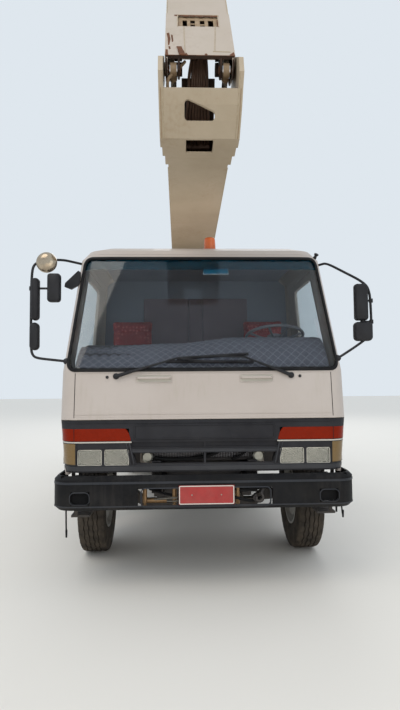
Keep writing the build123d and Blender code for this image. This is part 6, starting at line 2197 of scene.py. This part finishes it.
@dataclass
class SlewUnit:
    """Bolts, levers, tank fittings and pins on the turret and at the cylinders' feet."""

    station: float = 5.700
    table_circle: float = 0.470      # radii of the two bolt circles in metres
    pivot_circle: float = 0.070
    lift_eye: Flat = (0.900, -0.310)

    def bolts(self) -> None:
        """The ring of bolts on the table."""
        spots = []
        for c, d in circle(28, 0.5):
            spots.append((BOOM.at(self.table_circle * c, self.station + self.table_circle * d,
                                  1.380), (0, 0, 1), (1, 0, 0)))
        Repeats.make("table_bolts", bolt(0.014, 0.014), spots, Paint.zinc, Body.TURRET)
        s, z = BOOM.pivot
        spots = [(BOOM.at(side * 0.290, s + self.pivot_circle * c, z + self.pivot_circle * d),
                  (side, 0, 0), (0, 1, 0)) for side in (-1, 1) for c, d in circle(6)]
        Repeats.make("pivot_bolts", bolt(0.010, 0.008), spots, Paint.zinc, Body.TURRET)
        cap = Shape()
        for side in (-1, 1):
            cap.lathe([(0.0, 0.0), (0.052, 0.0), (0.052, 0.004), (0.012, 0.006), (0.008, 0.014),
                       (0.0, 0.014)], BOOM.at(side * 0.292, s, z), (side, 0, 0), 32, loop=False)
        cap.piece("pivot_caps", Paint.boom, Body.TURRET)

    def tank(self) -> None:
        """The tank's filler, filter and sight glass; the control box's levers and gauge."""
        form, glass, box = Shape(), Shape(), Shape()
        form.lathe([(0.0, 0.0), (0.045, 0.0), (0.045, 0.020), (0.038, 0.030), (0.0, 0.032)],
                   BOOM.at(-0.410, 5.640, 1.900), (0, 0, 1), 28, loop=False)
        form.lathe([(0.0, 0.0), (0.062, 0.0), (0.062, 0.012), (0.050, 0.014), (0.050, 0.060),
                    (0.0, 0.064)], BOOM.at(-0.410, 5.860, 1.900), (0, 0, 1), 28, loop=False)
        form.piece("tank_fittings", Paint.zinc, Body.TURRET)
        glass.box(BOOM.at(-0.566, 5.590, 1.600), BOOM.at(-0.560, 5.615, 1.780))
        glass.piece("oil_gauge", Paint.lens, Body.TURRET, bevel=0.002)
        for i in range(6):
            s = 5.610 + i * 0.048
            box.bar(BOOM.at(0.360, s, 1.858), BOOM.at(0.366, s, 1.962), 0.005, 8)
            box.lathe([(0.0, -0.012), (0.008, -0.010), (0.012, 0.0), (0.008, 0.010), (0.0, 0.012)],
                      BOOM.at(0.367, s, 1.972), (0, 0, 1), 12, loop=False)
        box.lathe([(0.0, 0.0), (0.034, 0.0), (0.034, 0.018), (0.028, 0.020), (0.0, 0.020)],
                  BOOM.at(0.430, 5.680, 1.740), (1, 0, 0), 28, loop=False)
        box.box(BOOM.at(0.430, 5.585, 1.480), BOOM.at(0.436, 5.875, 1.660))
        box.bar(BOOM.at(0.440, 5.600, 1.520), BOOM.at(0.440, 5.600, 1.620), 0.006, 8)
        box.piece("control_levers", Paint.black, Body.TURRET, bevel=0.0015)

    def lines(self) -> None:
        """Hydraulic hoses from the control box to the cylinder's foot and up the tower plate."""
        form = Shape()
        for i in range(4):
            x, z = 0.290 + i * 0.030, 1.452
            form.tube(each(BOOM.at, (x, 5.600 + i * 0.02, z), (x, 5.560 + i * 0.02, z - 0.040),
                           (x * 0.92, 5.535, 1.412), (0.225, 5.500 - i * 0.02, 1.405),
                           (0.180, 5.470 - i * 0.02, 1.400)), 0.010, 8)
        for i in range(3):
            s = 5.915 + i * 0.034
            form.tube(each(BOOM.at, (0.300, 5.880, 1.500 + i * 0.05), (0.286, s, 1.540),
                           (0.280, s + 0.02, 1.800), (0.278, s + 0.03, 2.300),
                           (0.277, s + 0.03, 2.700), (0.255, s + 0.02, 2.790)), 0.0105, 8)
        form.piece("tower_hoses", Paint.hose, Body.TURRET)
        clamps = Shape()
        for z in (1.75, 2.10, 2.45):
            clamps.box(BOOM.at(0.264, 5.905, z), BOOM.at(0.294, 6.035, z + 0.022))
        clamps.piece("hose_clamps", Paint.zinc, Body.TURRET, bevel=0.002)

    def pins(self) -> None:
        """The pin through the lift cylinder's upper eye, and the caps at the cylinder's foot."""
        eye, foot = Shape(), Shape()
        place = BOOM.lower(0.0, *self.lift_eye)
        eye.bar((place[0] - 0.0790, place[1], place[2]), (place[0] + 0.0790, place[1], place[2]),
                0.0342, 32)
        eye.piece("lift_eye_pin", Paint.zinc, "lift_rod")
        for side in (-1, 1):
            foot.lathe([(0.0, 0.0), (0.050, 0.0), (0.050, 0.008), (0.0, 0.009)],
                       BOOM.at(side * 0.1455, 5.350, 1.465), (side, 0, 0), 28, loop=False)
        foot.piece("lift_foot_caps", Paint.boom, Body.TURRET)

    def build(self) -> None:
        """Builds the turret's pieces."""
        self.bolts()
        self.tank()
        self.lines()
        self.pins()


@dataclass
class BoomFittings:
    """Wear pads, pipes along the booms and the rubber in the boom's cradle."""

    nylon: Coat = Coat("cast nylon, yellowed", "b7a877", rough=0.6, shade="8f8158", patch=0.06,
                       amount=0.5)

    def pads(self) -> None:
        """Slide pads in the mouth of the upper boom, with their adjusting screws."""
        form, spots = Shape(), []
        for x0, x1, q0, q1 in ((-0.205, -0.120, 0.1550, 0.1620), (0.120, 0.205, 0.1550, 0.1620),
                               (-0.205, -0.120, -0.2160, -0.2090),
                               (0.120, 0.205, -0.2160, -0.2090)):
            BOOM.block(form, (x0, x1), (5.285, 5.406), (q0, q1))
        form.piece("slide_pads", self.nylon, Body.UPPER, bevel=0.001)
        for side in (-1, 1):
            for p in (5.310, 5.370):
                for q in (-0.170, -0.040, 0.090):
                    spots.append((BOOM.upper(side * 0.238, p, q), (side, 0, 0), (0, 1, 0)))
        for x in (-0.16, 0.0, 0.16):
            for p in (5.310, 5.370):
                spots.append((BOOM.upper(x, p, 0.1850), tuple(Vector(BOOM.upper(0, 0,
                                                                                1))
                                                              - Vector(BOOM.upper(0, 0, 0))),
                              (1, 0, 0)))
        Repeats.make("pad_screws", bolt(0.010, 0.010), spots, Paint.zinc, Body.UPPER)

    def pipes(self) -> None:
        """Steel pipes clipped along the driver's side of both booms."""
        low, high, clips, more = Shape(), Shape(), Shape(), Shape()
        for v in (0.02, 0.05, 0.08):
            low.tube(each(BOOM.lower, (0.237, 0.30, v), (0.237, 2.0, v), (0.237, 4.0, v),
                          (0.237, 5.95, v), (0.229, 6.00, v)), 0.007, 8, 2)
        for k in range(8):
            u = 0.50 + k * 0.75
            clips.ring_skin([each(BOOM.lower, (0.226, u, v), (0.2475, u, v), (0.2475, u + 0.03, v),
                                  (0.226, u + 0.03, v)) for v in (0.000, 0.100)])
        for q in (-0.06, -0.03, 0.0):
            high.tube(each(BOOM.upper, (0.229, 0.60, q), (0.238, 0.65, q), (0.238, 2.0, q),
                           (0.238, 5.15, q), (0.229, 5.20, q)), 0.007, 8, 2)
        for k in range(7):
            p = 0.75 + k * 0.70
            more.ring_skin([each(BOOM.upper, (0.227, p, q), (0.2485, p, q), (0.2485, p + 0.03, q),
                                 (0.227, p + 0.03, q)) for q in (-0.080, 0.020)])
        low.piece("lower_boom_pipes", Paint.zinc, Body.LOWER)
        clips.piece("lower_boom_clips", Paint.rust, Body.LOWER, bevel=0.002)
        high.piece("upper_boom_pipes", Paint.zinc, Body.UPPER)
        more.piece("upper_boom_clips", Paint.rust, Body.UPPER, bevel=0.002)

    def rest(self) -> None:
        """Ribbed rubber on the cradle, and bolts that hold it."""
        form = Shape()
        top = BOOM.lower(0, (BOOM.pivot[0] - 2.180) / math.cos(math.radians(BOOM.rise)), -0.2)[2]
        for k in range(6):
            s = 2.1465 + k * 0.0128
            form.box(BOOM.at(-0.196, s, top - 0.015), BOOM.at(0.196, s + 0.0085, top - 0.0065))
        form.piece("cradle_rubber", Paint.rubber)
        spots = [(BOOM.at(x, 2.139, top - 0.082), (0, -1, 0), (1, 0, 0))
                 for x in (-0.30, -0.10, 0.10, 0.30)]
        Repeats.make("cradle_bolts", bolt(0.011, 0.009), spots, Paint.zinc)

    def build(self) -> None:
        """Builds the booms' fittings."""
        self.pads()
        self.pipes()
        self.rest()


@dataclass
class Platform:
    """The work platform: mesh panels, a drop bar, the control box's levers and the grip bars."""

    reach: float = 6.150
    half: float = 0.780
    deep: float = 0.750
    grips: tuple[int, int] = (26, 11)

    def build(self) -> None:
        """Builds the platform's pieces; its places hang from the tip of the fly section."""
        tip = BOOM.upper(0, self.reach, -0.027)
        y0, z0 = tip[1] + 0.250, tip[2] - 0.350
        y1 = y0 + self.deep
        rod = Shape()
        rod.bar((0, 0, 0), (0, 0, 0.412), 0.0030, 5)
        spots = []
        for i in range(30):
            x = BOOM.aside - self.half + 0.052 + i * (2 * self.half - 0.104) / 29
            spots += [((x, y, z0 + 0.148), (0, 0, 1), (1, 0, 0)) for y in (y0 + 0.019, y1 - 0.019)]
        for i in range(13):
            y = y0 + 0.060 + i * 0.0525
            spots += [((BOOM.aside + side * (self.half - 0.019), y, z0 + 0.148), (0, 0, 1),
                       (1, 0, 0)) for side in (-1, 1)]
        Repeats.make("platform_mesh", rod, spots, Paint.zinc, Body.BASKET)
        grip = Shape()
        grip.box((-0.020, -0.0035, 0.0), (0.020, 0.0035, 0.003))
        spots = []
        for i in range(self.grips[0]):
            for j in range(self.grips[1]):
                turned = (DIAGONAL, DIAGONAL if (i + j) % 2 else -DIAGONAL, 0)
                spots.append(((BOOM.aside - 0.735 + i * 0.0588, y0 + 0.045 + j * 0.066, z0 + 0.022),
                              (0, 0, 1), turned))
        Repeats.make("platform_grip", grip, spots, Paint.zinc, Body.BASKET)
        gate, panel, knobs = Shape(), Shape(), Shape()
        for z in (0.560, 0.820, 1.080):
            for x in (-0.260, 0.260):
                gate.lathe([(0.0195, -0.016), (0.026, -0.016), (0.026, 0.016), (0.0195, 0.016)],
                           (x + BOOM.aside, y1 - 0.019, z0 + z - (0.03 if z != 0.820 else 0.0)),
                           (0, 0, 1), 24)
        gate.bar((BOOM.aside - 0.245, y1 - 0.019, z0 + 0.820),
                 (BOOM.aside + 0.245, y1 - 0.019, z0 + 0.820), 0.014, 16)
        gate.piece("platform_gate", Paint.jack, Body.BASKET)
        x0 = BOOM.aside + 0.360
        panel.box((x0 + 0.008, y0 - 0.152, z0 + 1.080), (x0 + 0.272, y0 - 0.004, z0 + 1.088))
        panel.piece("platform_panel", Paint.black, Body.BASKET, bevel=0.003)
        for i in range(4):
            x = x0 + 0.050 + i * 0.060
            knobs.bar((x, y0 - 0.095, z0 + 1.088), (x, y0 - 0.100, z0 + 1.140), 0.0045, 8)
            knobs.lathe([(0.0, -0.012), (0.009, -0.009), (0.012, 0.0), (0.009, 0.009),
                         (0.0, 0.012)], (x, y0 - 0.101, z0 + 1.148), (0, 0, 1), 14, loop=False)
        knobs.lathe([(0.0, 0.0), (0.014, 0.0), (0.020, 0.010), (0.020, 0.016), (0.0, 0.020)],
                    (x0 + 0.230, y0 - 0.045, z0 + 1.088), (0, 0, 1), 20, loop=False)
        knobs.piece("platform_controls", Paint.orange, Body.BASKET)


def nodes_by_coat() -> dict[str, Coat]:
    """The finish of each solid that stays in view."""
    coats = {"frame_rails": Paint.chassis, "front_axle": Paint.chassis, "rear_axle": Paint.chassis,
             "leaf_springs": Paint.chassis, "driveline": Paint.chassis, "side_tanks": Paint.chassis,
             "front_bumper": Paint.bumper, "number_plate": Paint.plate, "deck": Paint.deck,
             "outrigger_casings": Paint.boom, "lockers": Paint.boom, "mudguards": Paint.black,
             "tail_bar": Paint.bumper, "boom_rest": Paint.boom, "cab_shell": Paint.cab,
             "cab_glass": Paint.glass, "grille": Paint.nose, "headlamps": Paint.lens,
             "turn_lamps": Paint.orange, "corner_lamps": Paint.pale, "dashboard": Paint.dash,
             "seats": Paint.cloth, "steering_wheel": Paint.black, "mirrors": Paint.black,
             "wipers": Paint.black, "beacon": Paint.amber, "turntable": Paint.boom,
             # The upper boom and fly section take the paler enamel, which paints the sky light on
             # them.
             "lower_boom": Paint.boom, "upper_boom": Paint.boom_sky_lit,
             "fly_section": Paint.boom_sky_lit, "basket": Paint.basket, "lift_barrel": Paint.chassis,
             "lift_rod": Paint.chrome, "elbow_barrels": Paint.chassis, "elbow_rods": Paint.chrome,
             "elbow_hoses": Paint.hose}
    for hand in ("left", "right"):
        coats |= {f"door_{hand}": Paint.cab, f"door_glass_{hand}": Paint.glass,
                  f"knuckle_{hand}": Paint.chassis}
        for end in ("front", "rear"):
            coats |= {f"tyre_{end}_{hand}": Paint.tyre, f"rim_{end}_{hand}": Paint.rim,
                      f"beam_{end}_{hand}": Paint.boom, f"jack_{end}_{hand}": Paint.jack}
    return coats


def main() -> None:
    """Builds the studio, dresses the solids and adds each assembly's own pieces."""
    logging.basicConfig(level=logging.INFO, format="%(message)s")
    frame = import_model()
    Studio().build()
    dress(frame, nodes_by_coat())
    for assembly in (CabFront(), Nose(), Bumper(), Interior(), Elbow(), Mirrors(), Wipers(),
                     Beacon(), Wheels(), Bodywork(), SlewUnit(), BoomFittings(), Platform()):
        assembly.build()


if __name__ == "__main__":
    main()
